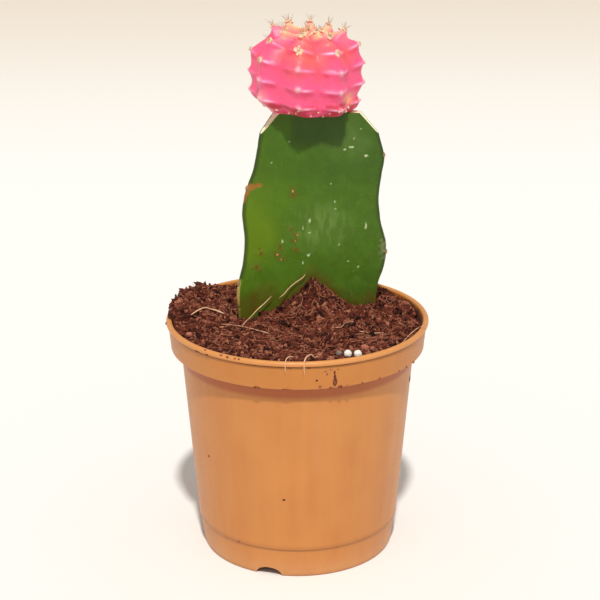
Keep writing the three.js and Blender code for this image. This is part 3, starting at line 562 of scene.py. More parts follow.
def new_piece(name, points, faces, material, replaced=(), smooth=True, marks=None):
    """Makes a piece and puts it on the frame's body."""
    piece = new_object(name, points, faces)
    piece.data.validate()
    write_marks(piece.data, marks or {})
    if smooth:
        piece.data.shade_smooth()
    piece.data.materials.append(material)
    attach(piece, "root")
    if replaced:
        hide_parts(*replaced)
    return piece


def combine(piece, other, operation):
    """Cuts or crosses a piece with another solid, which is then removed."""
    modifier = piece.modifiers.new("combine", "BOOLEAN")
    modifier.operation = operation
    modifier.solver = "EXACT"
    modifier.object = other
    seen = piece.evaluated_get(bpy.context.evaluated_depsgraph_get())
    mesh = bpy.data.meshes.new_from_object(seen)
    piece.modifiers.clear()
    piece.data = mesh
    bpy.data.objects.remove(other)


def lattice(i, j, k):
    """A value between -1 and 1 for each whole-number place, the same on every run."""
    s = np.sin(i * 127.1 + j * 311.7 + k * 74.7) * 43758.5453
    return 2 * (s - np.floor(s)) - 1


def lumps(points, size, shift=0.0):
    """Smooth lumpy noise between -1 and 1 at points in millimetres, with lumps of about that size."""
    place = np.asarray(points, float) / size + np.array((shift, 0, 0))
    cell = np.floor(place)
    part = place - cell
    part = part * part * (3 - 2 * part)
    total = np.zeros(len(place))
    for corner in np.ndindex(2, 2, 2):
        weight = np.prod(np.where(np.array(corner) == 1, part, 1 - part), axis=1)
        total += weight * lattice(*(cell + corner).T)
    return total


def hump(d, width):
    """A smooth hump: 1 in the middle, and next to nothing two widths away."""
    return np.exp(-((d / width) ** 2))


def ease(value):
    """Turns 0 to 1 smoothly, and holds both ends."""
    value = np.clip(value, 0, 1)
    return value * value * (3 - 2 * value)


def unit(vectors):
    """The vectors with their lengths made 1."""
    vectors = np.asarray(vectors, float)
    return vectors / np.maximum(np.linalg.norm(vectors, axis=-1, keepdims=True), 1e-9)


def smooth_curve(pairs):
    """A smooth curve through (height, value) pairs, level beyond its ends."""
    heights, values = np.array(pairs, float).T
    before = np.concatenate(([0], np.arange(len(pairs) - 1)))
    after = np.concatenate((np.arange(1, len(pairs)), [len(pairs) - 1]))
    slopes = (values[after] - values[before]) / (heights[after] - heights[before])

    def at(height):
        h = np.clip(height, heights[0], heights[-1])
        i = np.clip(np.searchsorted(heights, h, side="right") - 1, 0, len(pairs) - 2)
        span = heights[i + 1] - heights[i]
        t = (h - heights[i]) / span
        t2 = t * t
        t3 = t2 * t
        return ((2 * t3 - 3 * t2 + 1) * values[i] + (t3 - 2 * t2 + t) * span * slopes[i]
                + (3 * t2 - 2 * t3) * values[i + 1] + (t3 - t2) * span * slopes[i + 1])
    return at


def through(points, t):
    """Places at shares t of a smooth curve through points."""
    points = np.asarray(points, float)
    last = len(points) - 1
    place = np.clip(np.asarray(t, float) * last, 0, last - 1e-9)
    i = np.floor(place).astype(int)
    u = (place - i)[:, None]
    p0, p1, p2, p3 = (points[np.clip(i + k, 0, last)] for k in (-1, 0, 1, 2))
    v0 = (p2 - p0) / 2
    v1 = (p3 - p1) / 2
    return (2 * p1 - 2 * p2 + v0 + v1) * u ** 3 + (3 * p2 - 3 * p1 - 2 * v0 - v1) * u ** 2 + v0 * u + p1


def angles_round(count):
    """Evenly spaced angles round a full turn."""
    return np.linspace(0, TURN, count, endpoint=False)


def arc(centre, radius, start, end, steps):
    """Points of an arc in the radius and height plane, between two angles in degrees."""
    angles = np.radians(np.linspace(start, end, steps + 1))
    return [(centre[0] + radius * math.cos(a), centre[1] + radius * math.sin(a)) for a in angles]


def lathe(profile, sides):
    """Points and faces of a solid of revolution about Z. The profile starts and ends on the axis."""
    rings = np.array(profile[1:-1])
    angles = angles_round(sides)
    circle = np.stack((np.cos(angles), np.sin(angles)), axis=1)
    points = np.concatenate([
        np.column_stack((circle * r, np.full(sides, z))) for r, z in rings
    ] + [np.array([(0, 0, profile[0][1]), (0, 0, profile[-1][1])])])
    first = len(rings) * sides
    faces = ring_faces(len(rings), sides)
    top = (len(rings) - 1) * sides
    for i in range(sides):
        j = (i + 1) % sides
        faces.append((first, j, i))
        faces.append((first + 1, top + i, top + j))
    return points, faces


def ring_faces(rings, sides, closed=False):
    """Faces between stacked rings that all have the same number of points, with both ends if closed."""
    faces = [
        (a + i, a + (i + 1) % sides, a + sides + (i + 1) % sides, a + sides + i)
        for a in range(0, (rings - 1) * sides, sides) for i in range(sides)
    ]
    if closed:
        faces += [tuple(reversed(range(sides))), tuple(range((rings - 1) * sides, rings * sides))]
    return faces


def tubes(routes, radii, sides, flatness=1.0):
    """Closed tubes along many routes at once. Routes is tubes by points by 3, radii is tubes by points."""
    routes = np.asarray(routes, float)
    count, steps = routes.shape[:2]
    ahead = unit(np.gradient(routes, axis=1))
    up = np.where(np.abs(ahead[..., 2:3]) > 0.9, (1.0, 0.0, 0.0), (0.0, 0.0, 1.0))
    side = unit(np.cross(ahead, up))
    over = np.cross(side, ahead)
    angles = angles_round(sides)
    ring = (side[:, :, None] * np.cos(angles)[:, None]
            + over[:, :, None] * np.sin(angles)[:, None] * flatness)
    points = (routes[:, :, None] + ring * np.asarray(radii)[:, :, None, None]).reshape(-1, 3)
    one = ring_faces(steps, sides, closed=True)
    faces = [tuple(k + n * steps * sides for k in face) for n in range(count) for face in one]
    return points, faces


def bent(root, way, bend, reach, share):
    """The route of a hair or spine that starts out one way and bends aside."""
    return root + reach * (way * share[:, None] + bend * share[:, None] ** 2)


def ball(subdivisions):
    """Points and faces of a unit ball made of triangles."""
    bm = bmesh.new()
    bmesh.ops.create_icosphere(bm, subdivisions=subdivisions, radius=1)
    points = np.array([v.co for v in bm.verts])
    faces = [tuple(v.index for v in face.verts) for face in bm.faces]
    bm.free()
    return points, faces


def random_turns(rng, count):
    """Evenly spread random rotation matrices."""
    q = unit(rng.normal(size=(count, 4)))
    w, x, y, z = q.T
    rows = (
        (1 - 2 * (y * y + z * z), 2 * (x * y - z * w), 2 * (x * z + y * w)),
        (2 * (x * y + z * w), 1 - 2 * (x * x + z * z), 2 * (y * z - x * w)),
        (2 * (x * z - y * w), 2 * (y * z + x * w), 1 - 2 * (x * x + y * y)),
    )
    return np.array(rows).transpose(2, 0, 1)


def chunks(rng, places, stretch, turns, subdivisions, wobble):
    """Rough-sided chunks: one ball for each place, stretched, turned and dented."""
    base, one = ball(subdivisions)
    count = len(places)
    dents = 1 + rng.uniform(-wobble, wobble, (count, len(base), 1))
    local = base[None] * dents * stretch[:, None]
    points = np.einsum("nij,nkj->nki", turns, local) + places[:, None]
    faces = [tuple(k + n * len(base) for k in face) for n in range(count) for face in one]
    return points.reshape(-1, 3), faces, len(base)


def cut_off(bm, point, normal):
    """Cuts away what lies beyond a plane, and gives the parts that lie along the cut."""
    return bmesh.ops.bisect_plane(
        bm, geom=bm.verts[:] + bm.edges[:] + bm.faces[:], dist=1e-7, plane_co=Vector(point) * MM,
        plane_no=Vector(normal), clear_outer=True,
    )["geom_cut"]


# Materials

def polypropylene(settings):
    """Polypropylene, injection-moulded: satin and faintly waxy, with flow streaks down the wall, a fine
    spark-eroded grain that softens its highlights, and dry dust that gathers low down."""
    material, add, place = start_material("polypropylene, injection-moulded")
    # Streaks are drawn out down the wall, as the plastic flowed from the base to the lip.
    down = add("Mapping", {"Scale": (1, 1, 0.07), "Vector": place})
    streaks = add("TexNoise", {"Scale": per_mm(5), "Detail": 3, "Vector": down})
    clouds = add("TexNoise", {"Scale": per_mm(16), "Detail": 2, "Vector": place})
    flow = add("Math", {"operation": "MULTIPLY", 0: streaks, 1: clouds})
    base = blend(add, flow, (0.12, 0.42), settings.wall, settings.wall_deep, 0.8)
    specks = add("TexNoise", {"Scale": per_mm(1.1), "Detail": 4, "Vector": place})
    dusty = add("Attribute", {"attribute_name": "dust"})
    dust = add("Math", {"operation": "MULTIPLY", 0: specks, 1: dusty})
    dusted = add("Mix", {"data_type": "RGBA", 0: dust, 6: base, 7: settings.dust})
    # The lip is painted paler and the collar a deeper orange. The collar's shadow is painted on the wall
    # under it, the inside is painted darker, and a dark line of painted shade and dirt lines the crease
    # below the lip.
    colour = lay_over(add, dusted, (
        ("lip", "#E0A060", 0.35), ("collar", "#BC7222", 0.45), ("grime", "#A23E14", 0.72),
        ("crease", "#5E280C", 0.95),
    ))
    grain = add("TexNoise", {"Scale": per_mm(0.35), "Detail": 2, "Vector": place})
    fine = add("Bump", {"Strength": 0.25, "Distance": 0.03 * MM, "Height": grain})
    waves = add("Bump", {"Strength": 0.35, "Distance": 0.25 * MM, "Height": clouds, "Normal": fine})
    return finish_material(
        material, add, Base_Color=colour, satin=(specks, 0.36, 0.5), Normal=waves, IOR=1.49,
        Specular_IOR_Level=0.5, Subsurface_Weight=0.06, Subsurface_Radius=(1.0, 0.45, 0.2),
        Subsurface_Scale=1.2 * MM, Sheen_Weight=0.03, Sheen_Roughness=0.4,
    )


def coir_soil(settings, name="coir and peat, loose and damp"):
    """Coir pith and peat, loose and damp: dull, with every crumb its own brown from dark to reddish where it
    has dried, and a fibrous grain too fine to model."""
    material, add, place = start_material(name)
    own = add("Attribute", {"attribute_name": "shade"})
    mottle = add("TexNoise", {"Scale": per_mm(0.9), "Detail": 5, "Vector": place})
    centred = add("Math", {"operation": "MULTIPLY_ADD", 0: mottle, 1: 0.9, 2: -0.45})
    tone = add("Math", {"operation": "ADD", 0: own, 1: centred})
    browns = [(0.05, settings.dark), (0.5, settings.middle), (0.98, settings.light)]
    own_brown = add("ValToRGB", {"ramp": browns, "Fac": tone})
    fuzz = add("TexNoise", {"Scale": per_mm(0.3), "Detail": 3, "Vector": place})
    bump = add("Bump", {"Strength": 0.7, "Distance": 0.15 * MM, "Height": fuzz})
    return finish_material(
        material, add, Base_Color=own_brown, Normal=bump, Roughness=0.92, Specular_IOR_Level=0.25,
    )


def waxy_skin(settings):
    """Cactus skin, grown and wax-coated: a satin green that shifts from yellow-green to blue-green, with
    paler cloudy mottling, pin-point pores, brown warts and cork where it was scratched."""
    material, add, place = start_material("cactus skin, waxy")
    age = add("Attribute", {"attribute_name": "age"})
    greens = [(0.0, settings.young), (0.45, settings.green), (1.0, settings.old)]
    skin = add("ValToRGB", {"ramp": greens, "Fac": age})
    clouds = add("TexNoise", {"Scale": per_mm(4), "Detail": 5, "Vector": place})
    mottled = blend(add, clouds, (0.45, 0.8), skin, "#628C2A", 0.3)
    # Pores stand about 1.3 mm apart, drawn a little larger than life so that they show.
    pores = add("TexVoronoi", {"Scale": per_mm(1.3), "Vector": place})
    pore = add("MapRange", {"From Min": 0.1, "From Max": 0.22, "To Min": 0.22, "To Max": 0, "Value": pores})
    dotted = add("Mix", {"data_type": "RGBA", 0: pore, 6: mottled, 7: hex_linear("#86A44C")})
    # The globe's shadow painted on the stem's top, a dark line of painted shade along the margins, and the
    # film that splashed soil left have soft edges.
    below = lay_over(add, dotted, (
        ("bloom", "#86A05A", 0.4), ("deep", "#26421A", 0.75), ("margin", "#2E3A18", 0.8),
        ("stain", "#5E4416", 0.85),
    ))
    # Marks with ragged edges lie over them: felted margin, cork, warts, pale wart tops that are painted
    # highlights and share their colour with the pale strip up the left margin, and pale flecks that are
    # painted highlights.
    ragged = add("TexNoise", {"Scale": per_mm(0.8), "Detail": 3, "Vector": place})
    for mark, shade, low, high in (
        ("felt", "#7A7F58", 0.9, 1.35), ("cork", settings.cork, 0.7, 1.4), ("wart", "#744A1A", 0.8, 1.3),
        ("wart_top", "#C0A860", 0.9, 1.4), ("fleck", "#DCE8B8", 0.7, 1.4),
    ):
        amount = add("Attribute", {"attribute_name": mark})
        edged = add("Math", {"operation": "ADD", 0: amount, 1: ragged})
        below = blend(add, edged, (low, high), below, shade)
    ripple = add("TexNoise", {"Scale": per_mm(0.6), "Detail": 4, "Vector": place})
    fine = add("Bump", {"Strength": 0.35, "Distance": 0.08 * MM, "Height": ripple})
    pits = add("Bump", {"Strength": 0.3, "Distance": 0.08 * MM, "Height": pore, "Normal": fine})
    return finish_material(
        material, add, Base_Color=below, satin=(clouds, 0.4, 0.58), Normal=pits,
        Specular_IOR_Level=0.2, Subsurface_Weight=0.1, Subsurface_Radius=(0.6, 1.0, 0.2),
        Subsurface_Scale=0.8 * MM, Coat_Weight=0.03, Coat_Roughness=0.3,
    )


def healed_cut(settings):
    """Cactus flesh, knife-cut and healed: cream callus, dry and slightly wrinkled, with tan spots."""
    return two_tone(
        "cactus flesh, cut and healed", (settings.flesh, "#E6D8A0"), size=1.6, detail=4, span=(0.5, 0.75),
        relief=0.5, depth=0.2, wrinkles=0.7, Roughness=0.7, Specular_IOR_Level=0.35,
    )


def globe_flesh(settings):
    """Cactus flesh without green, grown: translucent, satin pink that turns coral in soft patches, with
    lilac ridges beside the areoles that carry a painted highlight, painted shade below the ridges, in the
    furrows and on the underside, and a straw flush on the youngest tubercles."""
    material, add, place = start_material("cactus flesh, chlorophyll-free")
    patches = add("TexNoise", {"Scale": per_mm(5), "Detail": 3, "Vector": place})
    sunned = add("Attribute", {"attribute_name": "sunned"})
    warm = add("Math", {"operation": "ADD", 0: patches, 1: sunned})
    flesh = blend(add, warm, (0.55, 1.35), settings.pink, settings.coral)
    # Painted shade lies below the ridges, in the furrows and on the underside, and a painted highlight along
    # the ridges.
    colour = lay_over(add, flesh, (
        ("below", "#D83058", 0.5), ("furrow", "#E8486C", 0.25), ("worn", "#F4AAA4", 0.85),
        ("under", "#C4323E", 0.75), ("sunspot", "#FFAE90", 0.95), ("ridge", settings.ridge, 0.8),
        ("shine", "#FFE2F0", 0.8), ("pale", "#F2A8A0", 0.6), ("straw", settings.straw, 0.9),
        ("pad", "#FFC4CC", 0.7),
    ), span=(0.08, 0.9))
    cells = add("TexNoise", {"Scale": per_mm(0.5), "Detail": 3, "Vector": place})
    bump = add("Bump", {"Strength": 0.3, "Distance": 0.06 * MM, "Height": cells})
    return finish_material(
        material, add, Base_Color=colour, satin=(cells, 0.38, 0.55), Normal=bump,
        Specular_IOR_Level=0.4, Subsurface_Weight=0.3, Subsurface_Radius=(1.0, 0.35, 0.4),
        Subsurface_Scale=1.6 * MM, Coat_Weight=0.08, Coat_Roughness=0.3,
    )


def felt_wool(name, shade, shadow):
    """Plant wool, felted: short matt hairs that catch light at the rim, with painted shade in the hollows
    between tufts.
    """
    return two_tone(
        name, (shadow, shade), size=0.35, detail=3, span=(0.35, 0.65), relief=0.8, depth=0.15,
        Roughness=0.95, Specular_IOR_Level=0.2, Sheen_Weight=0.4, Sheen_Roughness=0.5,
    )


def spine_horn(settings):
    """Spine horn, grown: straw-coloured and smooth at its root, brown and sharp at its tip."""
    material, add, place = start_material("spine horn")
    along = add("Attribute", {"attribute_name": "tip"})
    bands = add("TexNoise", {"Scale": per_mm(0.5), "Detail": 2, "Vector": place})
    tone = add("Math", {"operation": "MULTIPLY_ADD", 0: bands, 1: 0.35, 2: along})
    horn = [(0.4, settings.spine), (0.75, hex_linear("#C48C6C")), (1.0, settings.spine_tip)]
    return finish_material(
        material, add, Base_Color=add("ValToRGB", {"ramp": horn, "Fac": tone}), Roughness=0.4,
        Specular_IOR_Level=0.5,
    )


def dry_coir(name, shade, pale):
    """Coir, dried: a stiff, dull fibre that is bleached in places and finely rough."""
    return two_tone(
        name, (shade, pale), size=1.2, detail=5, span=(0.35, 0.65), relief=0.5, depth=0.06,
        Roughness=0.75, Specular_IOR_Level=0.35,
    )


def granule(name, shade, pit_shade, size, roughness):
    """A loose granule, expanded or fired: matt, with pits of the given size that are painted darker, as
    shade.
    """
    return two_tone(
        name, (pit_shade, shade), size=size, detail=4, span=(0.3, 0.55), relief=0.6, depth=0.12,
        Roughness=roughness, Specular_IOR_Level=0.4, Subsurface_Weight=0.1, Subsurface_Scale=0.5 * MM,
    )


def matt_paper(settings):
    """Background paper, matt: near white by the pot and warmer far behind it, with a faint tooth."""
    material, add, place = start_material("background paper, matt")
    back = add("SeparateXYZ", {"Vector": place}).outputs["Y"]
    share = add("MapRange", {
        "interpolation_type": "SMOOTHSTEP", "From Min": PAPER_TURNS, "From Max": PAPER_WARM, "Value": back,
    })
    base = add("Mix", {"data_type": "RGBA", 0: share, 6: settings.floor_near, 7: settings.floor_far})
    tooth = add("TexNoise", {"Scale": per_mm(0.8), "Detail": 2, "Vector": place})
    bump = add("Bump", {"Strength": 0.1, "Distance": 0.1 * MM, "Height": tooth})
    return finish_material(
        material, add, Base_Color=base, Normal=bump, Roughness=0.95, Specular_IOR_Level=0.1,
    )


# Shapes shared by several pieces

def wall_radius(z):
    """Outside radius of the tapered wall at a height."""
    share = (z - STEP_HEIGHT) / (COLLAR_BOTTOM - STEP_HEIGHT)
    return STEP_RADIUS + (WALL_TOP_RADIUS - STEP_RADIUS) * share


def outside_radius(z):
    """Outside radius of the pot at a height, with its foot, collar and lip."""
    lip = POT_HEIGHT - LIP_ROUND
    if z > lip - LIP_ROUND:
        return RIM_RADIUS - LIP_ROUND + math.sqrt(max(LIP_ROUND ** 2 - (z - lip) ** 2, 0))
    if z > COLLAR_BOTTOM:
        share = (z - COLLAR_BOTTOM) / (lip - COLLAR_BOTTOM)
        return COLLAR_FOOT_RADIUS + (COLLAR_TOP_RADIUS - COLLAR_FOOT_RADIUS) * share
    if z > STEP_HEIGHT:
        return wall_radius(z)
    return FOOT_RADIUS + (STEP_RADIUS - STEP_DEPTH - FOOT_RADIUS) * z / STEP_HEIGHT


def soil_height(x, y):
    """Height of the soil without its grains, as in the solid."""
    x = np.asarray(x, float)
    y = np.asarray(y, float)
    r = np.hypot(x, y)
    from_heap = (np.degrees(np.arctan2(y, x)) - HEAP["azimuth"] + 540) % 360 - 180
    heap = HEAP["rise"] * hump(from_heap, HEAP["spread"]) * hump(r - HEAP["radius"], HEAP["width"])
    width = np.where(x < MOUND["x"], MOUND["left"], MOUND["right"])
    mound = MOUND["rise"] * hump(x - MOUND["x"], width) * hump(y - MOUND["y"], MOUND["depth"])
    height = SOIL_LEVEL - SOIL_FALL * x + heap + mound
    for s in SWELLS:
        height = height + s["rise"] * hump(x - s["x"], s["width"]) * hump(y - s["y"], s["depth"])
    flat = np.stack((x.ravel(), y.ravel(), np.zeros(x.size)), axis=1)
    for c in CLODS:
        height = height + c["rise"] * lumps(flat, c["size"], 19 * c["rise"]).reshape(x.shape)
    lip = POT_HEIGHT + 1
    return np.where(height <= lip, height, lip + (height - lip) * ease((RIM_RADIUS - r) / HEAP_EDGE))


def stem_section(height, tip_points, face_points):
    """Points round the stem at a height: a round tip on every rib, and a hollow face between two."""
    section = []
    for i, rib in enumerate(RIBS):
        following = RIBS[(i + 1) % len(RIBS)]
        reach, next_reach = (float(REACH[k](height)) - RIB_TIP_ROUND for k in (i, (i + 1) % len(RIBS)))
        out = direction(rib["angle"])
        side = np.array((-out[1], out[0]))
        next_out = direction(following["angle"])
        next_side = np.array((next_out[1], -next_out[0]))
        angles = np.radians(np.linspace(-90, 90, tip_points, endpoint=False))
        for a in angles:
            section.append(out * (reach + RIB_TIP_ROUND * math.cos(a)) + side * RIB_TIP_ROUND * math.sin(a))
        half_turn = ((following["angle"] - rib["angle"] + 720) % 360) / 2
        face = (
            out * reach + side * RIB_TIP_ROUND,
            out * reach * 0.55 + side * RIB_ROOT_HALF,
            direction(rib["angle"] + half_turn) * FACE_RADIUS,
            next_out * next_reach * 0.55 + next_side * RIB_ROOT_HALF,
            next_out * next_reach + next_side * RIB_TIP_ROUND,
        )
        section.extend(through(face, np.linspace(0, 1, face_points, endpoint=False)))
    return np.array(section) + STEM_CENTRE


def direction(angle):
    """The level unit vector at an angle from +X in degrees."""
    return np.array((math.cos(math.radians(angle)), math.sin(math.radians(angle))))


REACH = [smooth_curve(rib["reach"]) for rib in RIBS]


def stem_reach(x, y, height=78.0):
    """How far places on the soil are outside the stem, in millimetres. Inside it is negative."""
    section = stem_section(height, tip_points=6, face_points=24) - STEM_CENTRE
    angles = np.arctan2(section[:, 1], section[:, 0])
    order = np.argsort(angles)
    radii = np.hypot(*section[order].T)
    dx = np.asarray(x) - STEM_CENTRE[0]
    dy = np.asarray(y) - STEM_CENTRE[1]
    edge = np.interp(np.arctan2(dy, dx), angles[order], radii, period=TURN)
    return np.hypot(dx, dy) - edge


def globe_profile(latitude):
    """Radius and height of the plain globe at a latitude: full and flat below, rounder above."""
    c = np.cos(latitude)
    s = np.sin(latitude)
    fullness = np.where(s > 0, FULL_ABOVE, FULL_BELOW)
    half = np.where(s > 0, GLOBE_UP, GLOBE_DOWN)
    reach = ((c / GLOBE_RADIUS) ** fullness + (np.abs(s) / half) ** fullness) ** (-1 / fullness)
    return reach * c, reach * s


# Length along the globe's profile from its widest line, for each latitude.
LATITUDES = np.radians(np.linspace(-89.99, 89.99, 721))
_radii, _heights = globe_profile(LATITUDES)
LENGTHS = np.concatenate(([0], np.cumsum(np.hypot(np.diff(_radii), np.diff(_heights)))))
LENGTHS = LENGTHS - np.interp(0, LATITUDES, LENGTHS)


def rib_place(azimuth):
    """Where an azimuth lies among the globe's ribs: a whole number on each rib's crest."""
    return ((azimuth - math.radians(FIRST_RIB_AZIMUTH)) / TURN * GLOBE_RIBS) % GLOBE_RIBS


def globe_skin(azimuth, latitude):
    """Points of the globe's skin, with how far each is off its rib's crest (0 to 1, the furrow) and how
    far above its nearest areole. Azimuth is from the front, turning to the right."""
    r, z = globe_profile(latitude)
    place = rib_place(azimuth)
    lower = np.floor(place).astype(int) % GLOBE_RIBS
    share = place - np.floor(place)
    start, shoulder, keel = (
        part[lower] * (1 - share) + part[(lower + 1) % GLOBE_RIBS] * share
        for part in np.array((RIB_STARTS, RIB_SHOULDERS, RIB_KEELS), float)
    )
    off = np.minimum(share, 1 - share) * 2
    level = np.interp(latitude, LATITUDES, LENGTHS) - start
    above = level - np.floor(level / AREOLE_SPACING + 0.5) * AREOLE_SPACING
    fullness = np.minimum(1, r / (0.55 * GLOBE_RADIUS))
    furrow = -FURROW_DEPTH * np.sin(off * math.pi / 2) ** 2
    ridge = RIDGE_RISE * hump(above, 1.15) * (1 - 0.45 * off)
    young = ease((z - YOUNG_FROM) / (YOUNG_TO - YOUNG_FROM))
    tubercle = (TUBERCLE_RISE + YOUNG_RISE * young) * hump(above + 0.35, 2.0 - 0.5 * young) * hump(off, 0.55)
    lift = (furrow + ridge + tubercle) * fullness
    crown = np.where(z > 0, np.maximum(0, 1 - r / CROWN_RADIUS), 0)
    drawn_in = shoulder * ease((z - SHOULDER_FROM) / (SHOULDER_TO - SHOULDER_FROM))
    drawn_in = (drawn_in + keel * ease((-z - KEEL_FROM) / (KEEL_TO - KEEL_FROM))) * r / GLOBE_RADIUS
    aside = azimuth - math.radians(FIRST_RIB_AZIMUTH)
    tall = hump(np.arctan2(np.sin(aside), np.cos(aside)), TALL["spread"])
    tall = tall * hump(z - TALL["height"], TALL["depth"])
    out = r + lift * (0.35 + 0.65 * np.cos(latitude)) - drawn_in - TALL["inward"] * tall
    up = z + lift * np.sin(latitude) * (z > 0) - CROWN_DEPTH * crown + TALL["rise"] * tall
    sway = SWAY * ease((-z - SWAY_FROM) / (SWAY_TO - SWAY_FROM))
    points = np.stack((sway + out * np.sin(azimuth), -out * np.cos(azimuth), up), axis=-1) + GLOBE_CENTRE
    return points, off, above


def globe_areoles():
    """Azimuth and latitude of every areole."""
    found = []
    for rib, start in enumerate(RIB_STARTS):
        azimuth = math.radians(FIRST_RIB_AZIMUTH) + rib * TURN / GLOBE_RIBS
        for i in range(-2, 5):
            latitude = float(np.interp(start + i * AREOLE_SPACING, LENGTHS, LATITUDES))
            if globe_profile(latitude)[0] > 3 and latitude > math.radians(LOWEST_AREOLE):
                found.append((azimuth, latitude))
    return np.array(found).T


def settings_of(context):
    """The sizes and colours that the user may change."""
    return context.scene.moon_cactus


# Pieces

class MOONCACTUS_OT_pot(bpy.types.Operator):
    """Turns the pot's shell and cuts its drain notches and holes"""

    bl_idname = "moon_cactus.pot"
    bl_label = "Pot"

    def execute(self, context):
        settings = settings_of(context).pot
        bead = settings.lip_round / MM
        lip = (RIM_RADIUS - bead, POT_HEIGHT - bead)
        shelf = COLLAR_BOTTOM + WALL
        foot_inside = FOOT_RADIUS - FOOT_WIDTH
        wall_rows = np.linspace(STEP_HEIGHT + 0.35, COLLAR_BOTTOM - 0.7, 40)
        foot_rows = np.linspace(0.5, STEP_HEIGHT - 0.6, 10)
        collar_rows = np.linspace(0.1, 1, 8)
        step_inner = STEP_RADIUS - STEP_DEPTH
        flare = COLLAR_TOP_RADIUS - COLLAR_FOOT_RADIUS
        profile = [
            (0, BASE_UNDERSIDE),
            *arc((foot_inside - 0.5, BASE_UNDERSIDE - 0.5), 0.5, 90, 0, 4),
            (foot_inside, 0.2),
            (foot_inside + 0.2, 0),
            (FOOT_RADIUS - 0.45, 0),
            *arc((FOOT_RADIUS - 0.4, 0.4), 0.4, -80, 0, 4),
            *((FOOT_RADIUS + (step_inner - FOOT_RADIUS) * z / STEP_HEIGHT, z) for z in foot_rows[1:]),
            (step_inner, STEP_HEIGHT - 0.25),
            *arc((STEP_RADIUS - 0.2, STEP_HEIGHT + 0.1), 0.2, -80, 0, 4),
            *((wall_radius(z), z) for z in wall_rows),
            *arc((WALL_TOP_RADIUS + 0.55, COLLAR_BOTTOM - 0.6), 0.6, 180, 95, 4),
            (COLLAR_FOOT_RADIUS - 0.9, COLLAR_BOTTOM),
            *arc((COLLAR_FOOT_RADIUS - COLLAR_ROUND, COLLAR_BOTTOM + COLLAR_ROUND), COLLAR_ROUND, -88, 0, 8),
            *((COLLAR_FOOT_RADIUS + flare * s, COLLAR_BOTTOM + 0.8 + 6.7 * s) for s in collar_rows),
            (COLLAR_TOP_RADIUS - 0.02, CREASE - 0.16),
            (COLLAR_TOP_RADIUS - 0.16, CREASE),
            (COLLAR_TOP_RADIUS - 0.1, CREASE + 0.14),
            *arc(lip, bead, -36, 180, 22),
            (COLLAR_TOP_RADIUS - WALL - 0.2, lip[1] - 1.6),
            (COLLAR_FOOT_RADIUS - WALL, shelf + 0.4),
            *arc((COLLAR_FOOT_RADIUS - WALL - 0.4, shelf + 0.4), 0.4, -10, -90, 3),
            (wall_radius(shelf) - WALL, shelf),
            (wall_radius(BASE_TOP) - WALL, BASE_TOP),
            (0, BASE_TOP),
        ]
        points, faces = lathe(profile, settings.sides)
        material = polypropylene(settings)
        pot = new_piece("pot_shell", points, faces, material, ("pot",))
        for i in range(NOTCHES):
            combine(pot, self.notch(FIRST_NOTCH_AZIMUTH + 360 * i / NOTCHES), "DIFFERENCE")
        for i in range(DRAIN_HOLES):
            combine(pot, self.drain_hole(FIRST_NOTCH_AZIMUTH + 360 * i / DRAIN_HOLES), "DIFFERENCE")
        self.dust(pot)
        pot.data.shade_smooth()
        pot.data.set_sharp_from_angle(angle=math.radians(SHARP_EDGES["pot"]))
        return {"FINISHED"}

    @staticmethod
    def notch(azimuth):
        """A cutter with an arched outline that widens at the outside of the foot, so its edge is soft."""
        steps = 24
        angles = np.linspace(0, math.pi, steps + 1)
        arch = np.stack((np.cos(angles) * NOTCH_WIDTH / 2, np.sin(angles) * NOTCH_HEIGHT), axis=1)
        arch = np.concatenate((arch, [(-NOTCH_WIDTH / 2, -1), (NOTCH_WIDTH / 2, -1)]))
        rings = []
        for depth, grow in ((-3.0, 0.3), (-1.4, 0.0), (-0.35, 0.0), (0.1, 0.35), (3.0, 0.5)):
            size = arch * (1 + grow / (NOTCH_WIDTH / 2), 1 + grow / NOTCH_HEIGHT)
            y = np.full(len(arch), -FOOT_RADIUS - depth)
            rings.append(np.stack((size[:, 0], y, size[:, 1]), axis=1))
        points = np.concatenate(rings)
        faces = ring_faces(len(rings), len(arch), closed=True)
        turn = Matrix.Rotation(math.radians(azimuth), 3, "Z")
        return new_object("notch", points @ np.array(turn).T, faces)

    @staticmethod
    def drain_hole(azimuth):
        """A round cutter through the base."""
        middle = np.array((math.sin(math.radians(azimuth)), -math.cos(math.radians(azimuth)), 0))
        profile = [(0, 0), (DRAIN_HOLE_RADIUS, 0), (DRAIN_HOLE_RADIUS, 8), (0, 8)]
        points, faces = lathe(profile, sides=48)
        return new_object("drain_hole", points + middle * DRAIN_CIRCLE_RADIUS, faces)

    @staticmethod
    def dust(pot):
        """Marks where dust gathers low on the foot and in faint runs down the wall, the paler lip and
        deeper-coloured collar, the collar's painted shadow on the wall, the inside painted darker, and
        painted shade with dirt in the crease below the lip, with painted shade along the step and the foot's
        lower edge."""
        points = np.array([v.co for v in pot.data.vertices]) / MM
        z = points[:, 2]
        r = np.hypot(points[:, 0], points[:, 1])
        outside = r > COLLAR_OUTSIDE
        # The wall's inside above the soil and the hollow under the base are painted darker.
        above_soil = 0.9 * (z > DARKENED_FROM) * (r < DARKENED_WITHIN)
        darkened_inside = np.maximum(above_soil, (z < STEP_HEIGHT) * (r < FOOT_RADIUS - 1))
        runs = ease(lumps(points * (1, 1, 0.12), 6) * 1.6 - 0.5)
        uneven = 0.62 + 0.38 * lumps(points * (1, 1, 0), 5, 3)
